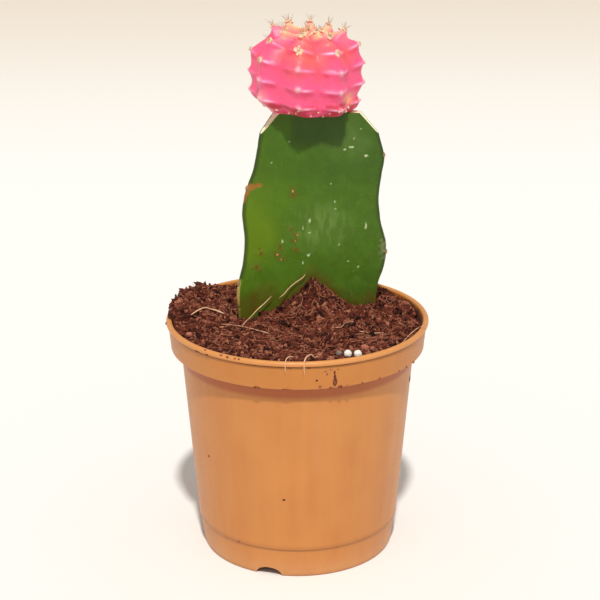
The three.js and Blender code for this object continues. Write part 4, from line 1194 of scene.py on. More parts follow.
        # The band under the collar is the collar's shadow, painted on the wall.
        grime = np.maximum(darkened_inside, ease((z - COLLAR_SHADOW_FROM) / 1.2) * (z < COLLAR_BOTTOM + 0.1))
        marks = {
            "dust": 0.35 * hump(z, 5) + 0.12 * runs,
            "lip": ease((z - CREASE - 0.3) / 0.4) * outside,
            "collar": ease((z - COLLAR_BOTTOM) / 0.6) * (z < CREASE) * outside,
            "grime": grime * (0.85 + 0.15 * runs),
            # Painted shade darkens the crease below the lip, which also holds dirt, and the step and the
            # foot's lower edge.
            "crease": np.maximum.reduce([
                hump(z - CREASE, 0.2) * outside * uneven, 0.7 * hump(z, 0.35),
                0.5 * hump(z - STEP_HEIGHT, 0.4), 0.5 * darkened_inside,
            ]),
        }
        write_marks(pot.data, {name: np.clip(numbers, 0, 1) for name, numbers in marks.items()})


class MOONCACTUS_OT_pot_marks(bpy.types.Operator):
    """Sticks crumbs and smears of soil to the outside of the pot"""

    bl_idname = "moon_cactus.pot_marks"
    bl_label = "Soil on the pot"

    def execute(self, context):
        rng = np.random.default_rng(SEEDS["pot marks"])
        places = []
        stretch = []
        turns = []
        for azimuth, z, half_width, half_height, thickness in POT_MARKS:
            a = math.radians(azimuth)
            out = np.array((math.sin(a), -math.cos(a), 0))
            side = np.array((math.cos(a), math.sin(a), 0))
            places.append(out * (outside_radius(z) + 0.2 * thickness) + (0, 0, z))
            stretch.append((half_width, half_height, thickness))
            turns.append(np.stack((side, (0, 0, 1), out), axis=1))
        places = np.array(places)
        points, faces, each = chunks(
            rng, places, np.array(stretch), np.array(turns), subdivisions=3, wobble=0.22,
        )
        limit = -np.array(CAD_BOX[0]) / MM
        points[:, 0] = np.clip(points[:, 0], -limit[0], limit[0])
        shade = np.repeat(rng.uniform(0.5, 0.85, len(places)), each)
        material = coir_soil(settings_of(context).soil, "coir and peat, dried on")
        new_piece("pot_marks", points, faces, material, marks={"shade": shade})
        return {"FINISHED"}


class MOONCACTUS_OT_soil(bpy.types.Operator):
    """Makes the soil plug with its fine relief, cut to the inside of the pot and the room over its lip"""

    bl_idname = "moon_cactus.soil"
    bl_label = "Soil"

    def execute(self, context):
        settings = settings_of(context).soil
        step = settings.grid / MM
        half = RIM_RADIUS + 1
        cells = math.ceil(2 * half / step)
        line = np.linspace(-half, half, cells + 1)
        x, y = (part.ravel() for part in np.meshgrid(line, line, indexing="ij"))
        z = soil_height(x, y)
        flat = np.stack((x, y, z), axis=1)
        coarse = lumps(flat, 1.5, 3)
        fine = lumps(flat, 0.8, 9)
        z = z + 0.4 * coarse + 0.3 * fine - 0.1
        across = cells + 1
        below = len(x)
        points = np.concatenate((np.stack((x, y, z), axis=1), [(0, 0, -400)]))
        faces = [
            (a, a + across, a + across + 1, a + 1)
            for i in range(cells) for a in range(i * across, i * across + cells)
        ]
        edge = [i * across for i in range(cells)] + [cells * across + j for j in range(cells)]
        edge += [i * across + cells for i in range(cells, 0, -1)] + list(range(cells, 0, -1))
        for k, corner in enumerate(edge):
            faces.append((edge[(k + 1) % len(edge)], corner, below))
        # The bed is painted lighter on its rises and darker in its dips, as painted shade.
        shade = np.concatenate((0.25 + 0.25 * coarse + 0.2 * fine, [0.2]))
        material = coir_soil(settings)
        bed = new_piece("soil_bed", points, faces, material, ("soil",), marks={"shade": shade})
        combine(bed, self.room(), "INTERSECT")
        bed.data.shade_smooth()
        bed.data.set_sharp_from_angle(angle=math.radians(SHARP_EDGES["soil"]))
        return {"FINISHED"}

    @staticmethod
    def room():
        """All that the soil may fill: the pot's inside less a gap, and the room above its lip."""
        shelf = COLLAR_BOTTOM + WALL
        lip = (RIM_RADIUS - LIP_ROUND, POT_HEIGHT - LIP_ROUND)
        profile = [
            (0, BASE_TOP + GAP),
            (wall_radius(BASE_TOP + GAP) - WALL - GAP, BASE_TOP + GAP),
            (wall_radius(shelf + GAP) - WALL - GAP, shelf + GAP),
            (COLLAR_FOOT_RADIUS - WALL - GAP, shelf + GAP),
            (COLLAR_TOP_RADIUS - WALL - 0.2 - GAP - 0.1, lip[1] - 1.6),
            *arc(lip, LIP_ROUND + GAP, 180, 100, 8),
            (RIM_RADIUS - 0.6, POT_HEIGHT + GAP + 0.1),
            (RIM_RADIUS - 0.4, POT_HEIGHT + 12),
            (0, POT_HEIGHT + 12),
        ]
        points, faces = lathe(profile, sides=144)
        return new_object("room", points, faces)


def soil_places(rng, count, heaped, size):
    """Random places on the soil that are clear of the stem, the beads, the pot's inside and, for all but
    the finest grains, the loose fibres."""
    share = np.linspace(0, 1, 14)
    lying = np.concatenate([through([point[1:3] for point in points], share) for points in FIBRES.values()])
    places = []
    while len(places) < count:
        n = 4 * count
        if heaped:
            r = 42 - 13 * rng.random(n) ** 1.3
            a = np.radians(HEAP["azimuth"] + 62 * rng.normal(size=n) * 0.45)
        else:
            r = 40.2 * np.sqrt(rng.random(n))
            a = TURN * rng.random(n)
        x = r * np.cos(a)
        y = r * np.sin(a)
        z = soil_height(x, y)
        fits = (r < CRUMB_EDGE - size) | ((z > POT_HEIGHT + 0.6) & (r < RIM_RADIUS - 0.3 - size))
        fits &= stem_reach(x, y) > 0.3 * size
        for px, py, radius in PEBBLES.values():
            fits &= np.hypot(x - px, y - py) > radius + 0.7 * size
        if size > 0.8:
            fits &= np.hypot(x[:, None] - lying[:, 0], y[:, None] - lying[:, 1]).min(axis=1) > 0.75 * size
        places.extend(np.stack((x, y, z), axis=1)[fits])
    return np.array(places[:count])


class MOONCACTUS_OT_crumbs(bpy.types.Operator):
    """Scatters grains, crumbs and clods over the soil"""

    bl_idname = "moon_cactus.crumbs"
    bl_label = "Crumbs"

    def execute(self, context):
        settings = settings_of(context).soil
        material = coir_soil(settings, "coir and peat, crumbled")
        # Name, count, whether only on the heap, least and greatest size, fineness of its ball, roughness.
        kinds = (
            ("soil_grains", settings.grain_count, False, 0.38, 0.75, 1, 0.25),
            ("soil_crumbs", settings.crumb_count, False, 0.6, 1.15, 2, 0.32),
            ("heap_crumbs", HEAP_CRUMBS, True, 0.55, 1.3, 2, 0.32),
            ("heap_clods", HEAP_CLODS, True, 1.0, 1.7, 2, 0.3),
        )
        for seed, (name, count, heaped, least, most, subdivisions, wobble) in enumerate(kinds):
            if not count:
                continue
            rng = np.random.default_rng(SEEDS["crumbs"] + seed)
            places = soil_places(rng, count, heaped, most)
            size = least + (most - least) * rng.random(count) ** 2.2
            places[:, 2] += size * rng.uniform(*((-0.9, 0.1) if heaped else (0.0, 0.45)), count)
            if name == "heap_clods":
                tips = np.array(HEAP_TIPS)
                places[:len(tips)] = tips[:, :3]
                size[:len(tips)] = tips[:, 3]
            stretch = ((1.1, 0.5, 0.45), (2.0, 0.8, 0.75)) if heaped else ((0.9, 0.6, 0.5), (1.5, 1.0, 0.85))
            stretch = size[:, None] * rng.uniform(*stretch, (count, 3))
            turns = random_turns(rng, count)
            points, faces, each = chunks(rng, places, stretch, turns, subdivisions, wobble)
            if subdivisions > 1:
                outwards = unit(points - np.repeat(places, each, axis=0))
                points = points + 0.12 * outwards * lumps(points, 0.7)[:, None]
            limit = RIM_RADIUS - 0.02
            r = np.hypot(points[:, 0], points[:, 1])
            points[:, :2] *= np.minimum(1, limit / r)[:, None]
            # Crumbs within 3 mm of the stem are painted darker.
            damp = 0.3 * ease((3 - stem_reach(*places[:, :2].T)) / 3)
            shade = np.repeat(np.clip(rng.normal(0.42, 0.24, count) - damp, 0.02, 0.98), each)
            new_piece(name, points, faces, material, smooth=False, marks={"shade": shade})
        return {"FINISHED"}


class MOONCACTUS_OT_strands(bpy.types.Operator):
    """Lays fine coir strands in the soil, and stands a few hairs on the heap"""

    bl_idname = "moon_cactus.strands"
    bl_label = "Fine strands"

    def execute(self, context):
        settings = settings_of(context)
        rng = np.random.default_rng(SEEDS["strands"])
        count = settings.soil.strand_count
        steps = 9
        middle = soil_places(rng, count, False, 2.2)
        heading = TURN * rng.random(count)
        bend = rng.normal(0, 0.9, count)
        half = rng.uniform(1.2, 3.6, count)
        share = np.linspace(-1, 1, steps)
        angle = heading[:, None] + bend[:, None] * share
        x = middle[:, :1] + half[:, None] * share * np.cos(angle)
        y = middle[:, 1:2] + half[:, None] * share * np.sin(angle)
        squeeze = np.minimum(1, STRAND_EDGE / np.hypot(x, y))
        x = x * squeeze
        y = y * squeeze
        lift = 0.45 + 0.55 * rng.random((count, 1)) * (1 - share ** 2)
        lift = lift + 0.15 * rng.normal(size=(count, steps))
        z = soil_height(x, y) + lift
        clear = (stem_reach(x, y) > 0.4).all(axis=1)
        routes = np.stack((x, y, z), axis=2)[clear]
        radii = rng.uniform(0.07, 0.15, (len(routes), 1)) * (1 - 0.6 * share ** 4)
        points, faces = tubes(routes, radii, sides=4)
        shade = np.repeat(np.clip(rng.normal(0.8, 0.16, len(routes)), 0.3, 1.0), steps * 4)
        material = coir_soil(settings.soil, "coir strands, damp")
        new_piece("soil_strands", points, faces, material, marks={"shade": shade})
        self.hairs(settings.trim)
        return {"FINISHED"}

    @staticmethod
    def hairs(settings):
        """Stands a few dry hairs on the heap."""
        share = np.linspace(0, 1, 9)
        routes = []
        for (x, y), way, reach in HEAP_HAIRS:
            root = np.array((x, y, float(soil_height(x, y)) - 0.3))
            way = unit(way)
            sag = np.array((way[0], way[1], -0.4)) * 0.3
            routes.append(bent(root, way, sag, reach, share))
        radii = np.tile(0.07 * (1 - 0.6 * share), (len(routes), 1))
        points, faces = tubes(routes, radii, sides=5)
        points[:, 0] = np.maximum(points[:, 0], -RIM_RADIUS + 0.05)
        material = dry_coir("coir hairs, dried", hex_linear("#8F7A62"), settings.fibre)
        new_piece("heap_hairs", points, faces, material)


class MOONCACTUS_OT_stem(bpy.types.Operator):
    """Skins the three-ribbed stem, cuts its top and shoulders, and marks its skin"""

    bl_idname = "moon_cactus.stem"
    bl_label = "Stem"

    def execute(self, context):
        settings = settings_of(context).stem
        step = settings.spacing / MM
        visible = np.arange(SKIN_FROM, GRAFT_HEIGHT + 5, step)
        heights = np.concatenate((np.linspace(BURIED_FOOT, SKIN_FROM - 1, 8), visible))
        tip_points = 8
        face_points = int(50 / step)
        sides = len(RIBS) * (tip_points + face_points)
        points = np.concatenate([
            np.column_stack((stem_section(z, tip_points, face_points), np.full(sides, z))) for z in heights
        ])
        faces = ring_faces(len(heights), sides, closed=True)
        values, points = self.marks(points, sides)
        material = waxy_skin(settings)
        stem = new_piece("stem_body", points, faces, material, ("stock",), marks=values)
        stem.data.materials.append(healed_cut(settings))
        self.cut(stem)
        stem.data.set_sharp_from_angle(angle=math.radians(SHARP_EDGES["stem"]))
        self.areoles(settings_of(context).globe)
        return {"FINISHED"}

    @staticmethod
    def marks(points, sides):
        """Marks of the skin at each point, and the points with the relief that those marks have."""
        grid = points.reshape(-1, sides, 3)
        around = np.roll(grid, -1, axis=1) - np.roll(grid, 1, axis=1)
        normal = unit(np.cross(around, (0, 0, 1))).reshape(-1, 3)
        x, y, z = points.T
        front = normal[:, 1] < -0.3
        # Distance to the nearest margin.
        to_margin = np.full(len(points), 99.0)
        rib_of = np.zeros(len(points), int)
        for i, rib in enumerate(RIBS):
            tip = STEM_CENTRE + direction(rib["angle"]) * (REACH[i](z) - 0.4)[:, None]
            away = np.hypot(x - tip[:, 0], y - tip[:, 1])
            rib_of = np.where(away < to_margin, i, rib_of)
            to_margin = np.minimum(to_margin, away)

        def spots(places, chosen):
            strength = np.zeros(len(points))
            for px, pz, half_width, half_height in places:
                d = ((x - px) / half_width) ** 2 + ((z - pz) / half_height) ** 2
                strength = np.maximum(strength, np.exp(-d * d) * chosen)
            return strength

        # Small warts crowd in a broken ring round each large one.
        rng = np.random.default_rng(SEEDS["ringed warts"])
        ringed = []
        for px, pz, half_width, half_height in WARTS:
            for turn in TURN * (np.arange(4) + rng.uniform(0, 0.8, 4)) / 4:
                away = rng.uniform(1.5, 2.2)
                small = rng.uniform(0.25, 0.5)
                right = half_width * away * math.cos(turn)
                up = half_height * away * math.sin(turn)
                ringed.append((px + right, pz + up, small, small))
        warts = np.maximum(spots(WARTS, front), 0.72 * spots(ringed, front)) ** 0.6
        warts = warts * (0.8 + 0.2 * lumps(points, 0.7, 2))
        # The pale flecks are painted highlights.
        flecks = spots(FLECKS, front) * (0.8 + 0.2 * lumps(points, 0.9, 9))
        scars = spots(SCARS, x < -9) * (0.8 + 0.3 * lumps(points, 1.3, 6))
        # Wax rubbed thin in upright streaks low on the front, and in a haze on the upper right.
        streaks = ease(lumps(points * (1, 1, 0.3), 0.9, 12) * 2 + 0.1)
        rubbed = hump(x - 8, 9) * hump(z - 104, 7) * (0.3 + 0.7 * streaks)
        haze = hump(x - 17, 6) * hump(z - 133, 6) * (0.6 + 0.4 * lumps(points, 3, 8))
        bloom = np.maximum(rubbed, haze) * front
        # The faces that the front view hides carry warts and pale flecks, painted highlights, of their own.
        rng = np.random.default_rng(SEEDS["hidden marks"])
        hidden = np.flatnonzero(~front & (z > 84) & (z < 136) & (to_margin > 2))
        for target, count in ((warts, 20), (flecks, 34)):
            for centre in points[rng.choice(hidden, count, replace=False)]:
                away = np.linalg.norm((points - centre) * (1, 1, 0.8), axis=1) / rng.uniform(0.28, 0.6)
                np.maximum(target, np.exp(-away ** 4), out=target)
        # A pale dry strip runs up the left margin from the soil, and thin cork up the others.
        left = (rib_of == 0) * ease((90 - z) / 5) * ease((1.2 - to_margin) / 0.5)
        left = left * (0.55 + 0.45 * ease((z - 78) / 4))
        others = (rib_of != 0) * ease((82 - z) / 4) * ease((1.3 - to_margin) / 1.0)
        cork = np.maximum(scars, others * 0.7)
        near = hump(z - 97, 7) * (rib_of == 1) * ease((4.6 - to_margin) / 4)
        felt = np.clip(near * (0.7 + 0.5 * lumps(points, 0.9, 4)), 0, 1)
        sunny = hump(x + 14, 6.5) * hump(z - 102.5, 8)
        uneven = 0.12 * lumps(points, 9, 2) + 0.08 * lumps(points, 4, 7)
        age = np.where(front, 0.58 + (x - 2) / 70 - 0.6 * sunny + uneven, 0.55 + 0.2 * lumps(points, 8, 4))
        above_soil = z - soil_height(x, y)
        stain = ease((7 + 5 * (x < -6) - above_soil) / 6) * (0.65 + 0.35 * lumps(points, 2.4, 6))
        # The globe's shadow is painted on the stem's top, and painted shade darkens the stem towards the
        # graft.
        shaded = ease((z - 126) / 8) * ease((12 - np.abs(x - 7)) / 5)
        deep = np.maximum(0.8 * shaded, 0.35 * ease((z - 112) / 12))
        # A dark line of painted shade runs along each margin, above 88 mm.
        margin = 0.9 * ease((1.5 - to_margin) / 0.8) * (z > 88)
        # Relief: a gentle swell over the faces, raised warts, sunken scars and rough margins.
        lift = 0.22 * lumps(points, 8, 1) * ease(to_margin / 4) + 0.05 * lumps(points, 1.8, 6)
        lift += 0.14 * warts + 0.07 * flecks - 0.12 * scars + 0.12 * cork * lumps(points, 1.1, 8)
        lift += 0.12 * felt * lumps(points, 0.9, 3)
        moved = points + normal * lift[:, None]
        values = {
            "age": np.clip(age, 0, 1), "bloom": np.clip(bloom, 0, 1), "deep": deep, "margin": margin,
            "stain": np.clip(stain, 0, 1), "felt": felt * 0.9, "cork": np.clip(cork, 0, 1), "wart": warts,
            # Wart tops are painted highlights; the pale strip up the left margin takes their colour.
            "wart_top": np.maximum(1.3 * ease(warts * 5 - 3.8), left), "fleck": flecks,
        }
        return values, moved

    @staticmethod
    def cut(stem):
        """Cuts the stem's top, its three shoulders and its buried foot. Healed flesh, inside a rim of skin,
        closes the top and the shoulders, and skin closes the foot."""
        planes = [((*STEM_CENTRE, GRAFT_HEIGHT), GRAFT_UP, True)]
        for rib in RIBS:
            out = direction(rib["angle"])
            bevel = rib["bevel"]
            rise = math.sin(math.radians(bevel["slope"]))
            corner = (*(STEM_CENTRE + out * bevel["reach"]), bevel["height"])
            planes.append((corner, (*(out * rise), math.cos(math.radians(bevel["slope"]))), True))
        for rib in RIBS:
            out = direction(rib["angle"])
            planes.append(((*(STEM_CENTRE + out * FOOT_REACH), BURIED_FOOT), (*out, -1), False))
        bm = bmesh.new()
        bm.from_mesh(stem.data)
        for point, normal, flesh in planes:
            corners = [part for part in cut_off(bm, point, normal) if isinstance(part, bmesh.types.BMVert)]
            bmesh.ops.remove_doubles(bm, verts=corners, dist=0.1 * MM)
            rim = [edge for edge in bm.edges if edge.is_boundary]
            for face in bmesh.ops.edgeloop_fill(bm, edges=rim)["faces"]:
                face.material_index = int(flesh)
        inner = [face for face in bm.faces if face.material_index == 1]
        skin = bmesh.ops.inset_region(bm, faces=inner, thickness=0.4 * MM, use_boundary=True)["faces"]
        bmesh.ops.inset_region(bm, faces=inner, thickness=0.3 * MM, depth=-0.12 * MM, use_boundary=True)
        for face in skin:
            face.material_index = 0
        bm.to_mesh(stem.data)
        bm.free()

    @staticmethod
    def areoles(settings):
        """Small felted pads on the stem's margins, with short spines of the same horn as the globe's."""
        rng = np.random.default_rng(SEEDS["stem areoles"])
        base, one = ball(3)
        points = []
        faces = []
        roots = []
        tips = []
        for rib, z in STEM_AREOLES:
            out = np.append(direction(RIBS[rib]["angle"]), 0)
            place = np.append(STEM_CENTRE, z) + out * (float(REACH[rib](z)) - 0.35)
            pad = base * (0.7, 0.7, 1.0) * (1 + 0.12 * lumps(base * 3 + rib, 0.8))[:, None]
            faces.extend(tuple(k + len(base) * len(points) for k in face) for face in one)
            points.append(pad + place)
            for lean in (-50, -15, 20, 55):
                turn = math.radians(lean + rng.uniform(-8, 8))
                side = np.array((-out[1], out[0], 0)) * rng.uniform(-0.5, 0.5)
                way = unit(out * math.cos(turn) + np.array((0, 0, math.sin(turn))) + side)
                roots.append(place)
                tips.append(place + way * rng.uniform(1.1, 1.6))
        wool = felt_wool("stem wool, felted", hex_linear("#B0905C"), hex_linear("#644E2C"))
        new_piece("stem_areoles", np.concatenate(points), faces, wool)
        share = np.linspace(0, 1, 5)
        routes = np.array(roots)[:, None] + (np.array(tips) - np.array(roots))[:, None] * share[:, None]
        radii = np.tile(0.12 * (1 - 0.85 * share), (len(roots), 1))
        spine_points, spine_faces = tubes(routes, radii, sides=6)
        tip = np.tile(np.repeat(share, 6), len(roots))
        horn = spine_horn(settings)
        new_piece("stem_spines", spine_points, spine_faces, horn, marks={"tip": tip})


class MOONCACTUS_OT_globe(bpy.types.Operator):
    """Skins the ribbed pink globe and seats it on the stem"""

    bl_idname = "moon_cactus.globe"
    bl_label = "Globe"

    def execute(self, context):
        settings = settings_of(context).globe
        sides = settings.sides
        latitudes = np.radians(np.concatenate((np.linspace(-78, -40, 22), np.linspace(-39, 87, 150))))
        azimuths = math.radians(FIRST_RIB_AZIMUTH) + angles_round(sides)
        azimuth, latitude = (part.ravel() for part in np.meshgrid(azimuths, latitudes))
        points, off, above = globe_skin(azimuth, latitude)
        r, z = globe_profile(latitude)
        out = unit(points - GLOBE_CENTRE)
        place = rib_place(azimuth)
        nearest = np.round(place)
        clear = np.array(RIDGE_CLEARNESS)[nearest.astype(int) % GLOBE_RIBS, (place > nearest).astype(int)]
        sharp_ridge = hump(above, 0.55) * ease(1 - off * 1.02) ** 0.4 * clear
        crease = hump(1 - off, 0.1)
        lift = 0.26 * sharp_ridge - 0.1 * crease + 0.2 * lumps(points, 2.6, 2) + 0.08 * lumps(points, 1.0, 5)
        full = np.minimum(1, r / (0.4 * GLOBE_RADIUS))
        points = points + out * (lift * full)[:, None]
        values = self.colouring(points, azimuth, z, off, above, sharp_ridge)
        faces = ring_faces(len(latitudes), sides, closed=True)
        material = globe_flesh(settings)
        globe = new_piece("globe_body", points, faces, material, ("scion",), marks=values)
        self.seat(globe)
        return {"FINISHED"}

    @staticmethod
    def colouring(points, azimuth, z, off, above, ridge):
        """Amounts of each colour at each point of the skin."""
        turn = (azimuth + math.pi) % TURN - math.pi
        beside = ease(off * 3) * ease((1 - off) * 2.5)
        young = ease((z - 7.5) / 4.5)
        inner = ease((z - 10.2) / 1.2)
        low = ease((-z - 2) / 9)
        worn = hump(turn + math.radians(57), 0.2) * hump(z + 8.8, 3.2)
        worn = worn + 0.2 * low * ease(lumps(points, 3.5, 4))
        sunspot = hump(turn - math.radians(60), 0.2) * hump(z + 8.7, 2.0)
        sunned = np.maximum.reduce([
            spot["amount"] * hump(turn - math.radians(spot["azimuth"]), spot["width"])
            * hump(z - spot["height"], spot["tall"]) for spot in SUNNED
        ])
        # The underside is painted darker red, as shade.
        underside_shade = ease((-z - 8.6) / 1.4) * ease(lumps(points, 2.0, 7) * 1.3 + 0.7)
        bright = np.clip(ridge * (0.3 + 0.7 * beside) * (1 - 0.6 * young), 0, 1)
        # below, furrow and under hold painted shade, and shine a painted highlight.
        return {
            "sunned": np.clip(sunned, 0, 1),
            "below": hump(above + 1.3, 0.9) * beside * (1 - young) * ease(lumps(points, 4, 3) + 0.6),
            "furrow": hump(1 - off, 0.22) * ease((z + 4) / 6),
            "worn": np.clip(worn, 0, 1),
            "under": np.clip(underside_shade, 0, 1),
            "sunspot": np.clip(sunspot, 0, 1),
            "ridge": bright,
            "shine": bright ** 3 * ease(lumps(points, 3, 9) + 0.6),
            "pale": young * (1 - inner) * hump(off, 0.6),
            "straw": inner * hump(off, 0.7),
            "pad": hump(np.hypot(off * 7.5, above), 0.95),
        }

    @staticmethod
    def seat(globe):
        """Cuts the globe flat where it has grown onto the stem."""
        bm = bmesh.new()
        bm.from_mesh(globe.data)
        cut = cut_off(bm, (*STEM_CENTRE, GRAFT_HEIGHT - GRAFT_SINK), -GRAFT_UP)
        bmesh.ops.edgeloop_fill(bm, edges=[part for part in cut if isinstance(part, bmesh.types.BMEdge)])
        bm.to_mesh(globe.data)
        bm.free()
        globe.data.set_sharp_from_angle(angle=math.radians(SHARP_EDGES["globe"]))


class MOONCACTUS_OT_globe_spines(bpy.types.Operator):
    """Sets a woolly pad and its spines on every areole of the globe"""

    bl_idname = "moon_cactus.globe_spines"
    bl_label = "Wool and spines"

    def execute(self, context):
        settings = settings_of(context).globe
        rng = np.random.default_rng(SEEDS["globe wool"])
        azimuth, latitude = globe_areoles()
        places, _, _ = globe_skin(azimuth, latitude)
        out = unit(places - GLOBE_CENTRE)
        side = np.stack((np.cos(azimuth), np.sin(azimuth), np.zeros(len(azimuth))), axis=1)
        rise = np.cross(out, side)
        rise = rise * np.where(rise[:, 2:] < 0, -1, 1)
        crown = latitude > math.radians(CROWN_FROM)
        self.pads(settings, rng, places, out, side, rise)
        self.spines(settings, rng, places, out, side, rise, crown)
        return {"FINISHED"}

    @staticmethod
    def pads(settings, rng, places, out, side, rise):
        """Cushions of wool on the areoles and small tufts between them, with short hairs that stand out."""
        count = len(places)
        z = places[:, 2] - GLOBE_CENTRE[2]
        turns = np.stack((side, rise, out), axis=2)
        woolly = z > WOOLLY_FROM
        wool = felt_wool("globe wool, felted", settings.wool, hex_linear("#D9A98C"))
        worn_wool = felt_wool("globe wool, old and thin", hex_linear("#FFC8D0"), hex_linear("#F09AA8"))
        low = ~woolly
        stretch = rng.uniform(0.55, 0.7, (low.sum(), 1)) * np.array((0.8, 1.05, 0.55))
        points, faces, _ = chunks(
            rng, (places + 0.12 * out)[low], stretch, turns[low], subdivisions=3, wobble=0.08,
        )
        new_piece("globe_wool_low", points, faces, worn_wool)
        # Upper areoles hold several flocks of wool each, and those of the front one are spread wide.
        front = (np.abs(places[:, 0] - GLOBE_CENTRE[0] + 2) < 2) & (places[:, 1] < 12) & (z > 6) & (z < 10)
        spread = np.where(front, 1.25, 0.5 + 0.25 * ease((z - 9) / 2))[woolly]
        shift = rng.normal(size=(woolly.sum(), FLOCKS, 2)) * spread[:, None, None] * 0.62
        most = 1.5 * spread[:, None, None]
        shift = np.clip(shift, -most, most)
        middle = places[woolly][:, None, :] + shift[:, :, :1] * side[woolly][:, None, :]
        middle = middle + shift[:, :, 1:] * rise[woolly][:, None, :] + 0.05 * out[woolly][:, None, :]
        middle = middle.reshape(-1, 3)
        stretch = rng.uniform(0.4, 0.8, (len(middle), 1)) * np.array((0.8, 1.0, 0.4))
        flock_turns = np.repeat(turns[woolly], FLOCKS, axis=0)
        points, faces, _ = chunks(rng, middle, stretch, flock_turns, subdivisions=2, wobble=0.12)
        new_piece("globe_wool", points, faces, wool)
        azimuth = np.radians([tuft[0] for tuft in LOW_TUFTS])
        latitude = np.interp([tuft[1] for tuft in LOW_TUFTS], globe_profile(LATITUDES)[1], LATITUDES)
        low_places, _, _ = globe_skin(azimuth, latitude)
        low_stretch = rng.uniform(0.25, 0.5, (len(LOW_TUFTS), 1)) * np.array((1.1, 0.8, 1.3))
        low_turns = random_turns(rng, len(LOW_TUFTS))
        points, faces, _ = chunks(rng, low_places, low_stretch, low_turns, subdivisions=3, wobble=0.15)
        new_piece("globe_tufts", points, faces, wool)
        size = np.where(woolly, 0.85, 0.45)[:, None]
        about = TURN * rng.random((count, WOOL_HAIRS))
        lean = rng.uniform(0.2, 1.3, (count, WOOL_HAIRS))
        across = np.cos(about)[..., None] * side[:, None] + np.sin(about)[..., None] * rise[:, None]
        way = np.cos(lean)[..., None] * out[:, None] + np.sin(lean)[..., None] * across
        root = places[:, None] + across * (0.5 * np.sin(lean)[..., None] * size[:, None])
        root = root + 0.25 * out[:, None]
        share = np.linspace(0, 1, 4)
        reach = size[:, None] * rng.uniform(0.5, 0.95, (count, WOOL_HAIRS, 1))
        route = (root[:, :, None] + (way * reach)[:, :, None] * share[:, None]).reshape(-1, 4, 3)
        radii = np.tile(0.05 * (1 - 0.7 * share), (len(route), 1))
        points, faces = tubes(route, radii, sides=3)
        points[:, 2] = np.minimum(points[:, 2], CAD_TOP)
        new_piece("globe_wool_hairs", points, faces, wool)

    @staticmethod
    def spines(settings, rng, places, out, side, rise, crown):
        """Curved spines: long and brown-tipped on the crown, short and worn lower down."""
        share = np.linspace(0, 1, 8)
        routes = []
        radii = []
        for place, ahead, across, up, young in zip(places, out, side, rise, crown):
            kind = CROWN_SPINES if young else SIDE_SPINES
            for i in range(kind["count"]):
                turn = TURN * (i + rng.uniform(0.1, 0.6)) / kind["count"]
                aside = math.cos(turn) * across + math.sin(turn) * up
                way = ahead + rng.uniform(*kind["spread"]) * aside
                way = unit(way + np.array((0, 0, kind["upwards"])))
                reach = rng.uniform(*kind["reach"])
                curl = unit(np.cross(way, across) + 0.2) * rng.uniform(-0.18, 0.18)
                routes.append(bent(place - 0.1 * ahead, way, curl, reach, share))
                radii.append(kind["radius"] * (1 - 0.88 * share ** 1.3))
        points, faces = tubes(routes, radii, sides=6)
        points[:, 2] = np.minimum(points[:, 2], CAD_TOP)
        tip = np.tile(np.repeat(share, 6), len(routes))
        horn = spine_horn(settings)
        new_piece("globe_spines", points, faces, horn, marks={"tip": tip})


class MOONCACTUS_OT_fibres(bpy.types.Operator):
    """Draws the loose coir fibres that lie on the soil, lean on the stem and hook over the lip"""

    bl_idname = "moon_cactus.fibres"
    bl_label = "Loose fibres"

    def execute(self, context):
        settings = settings_of(context).trim
        radius = settings.fibre_radius / MM
        material = dry_coir("coir, dried", settings.fibre, settings.fibre_pale)
        bleached = dry_coir("coir, dried and bleached", hex_linear("#E2B48C"), settings.fibre_pale)
        share = np.linspace(0, 1, 48)
        for seed, (name, points) in enumerate(FIBRES.items()):
            rng = np.random.default_rng(SEEDS["fibres"] + seed)
            route = through([self.place(*point) for point in points], share)
            wave = lumps(route + 11 * seed, 2.0)[:, None] * unit(rng.normal(size=3)) * 0.12
            route = route + wave * ease(np.minimum(share, 1 - share) * 6)[:, None]
            thick = radius * FIBRE_GROWTH[name] * (0.8 + 0.3 * lumps(route, 1.5, seed))
            thick = thick * (0.35 + 0.65 * ease(np.minimum(share, 1 - share) * 7))
            tube, faces = tubes(route[None], thick[None], sides=10, flatness=0.85)
            finish = material if name in BROWN_FIBRES else bleached
            new_piece(name + "_strand", tube, faces, finish, (name,))
        return {"FINISHED"}

    @staticmethod
    def place(kind, x, y, z):
        """A point of a route. A laid one is at its lift above where a fibre lies on the soil."""
        if kind == "laid":
            z = float(soil_height(x, y)) + LAID_CLEAR + z
        return (x, y, z)


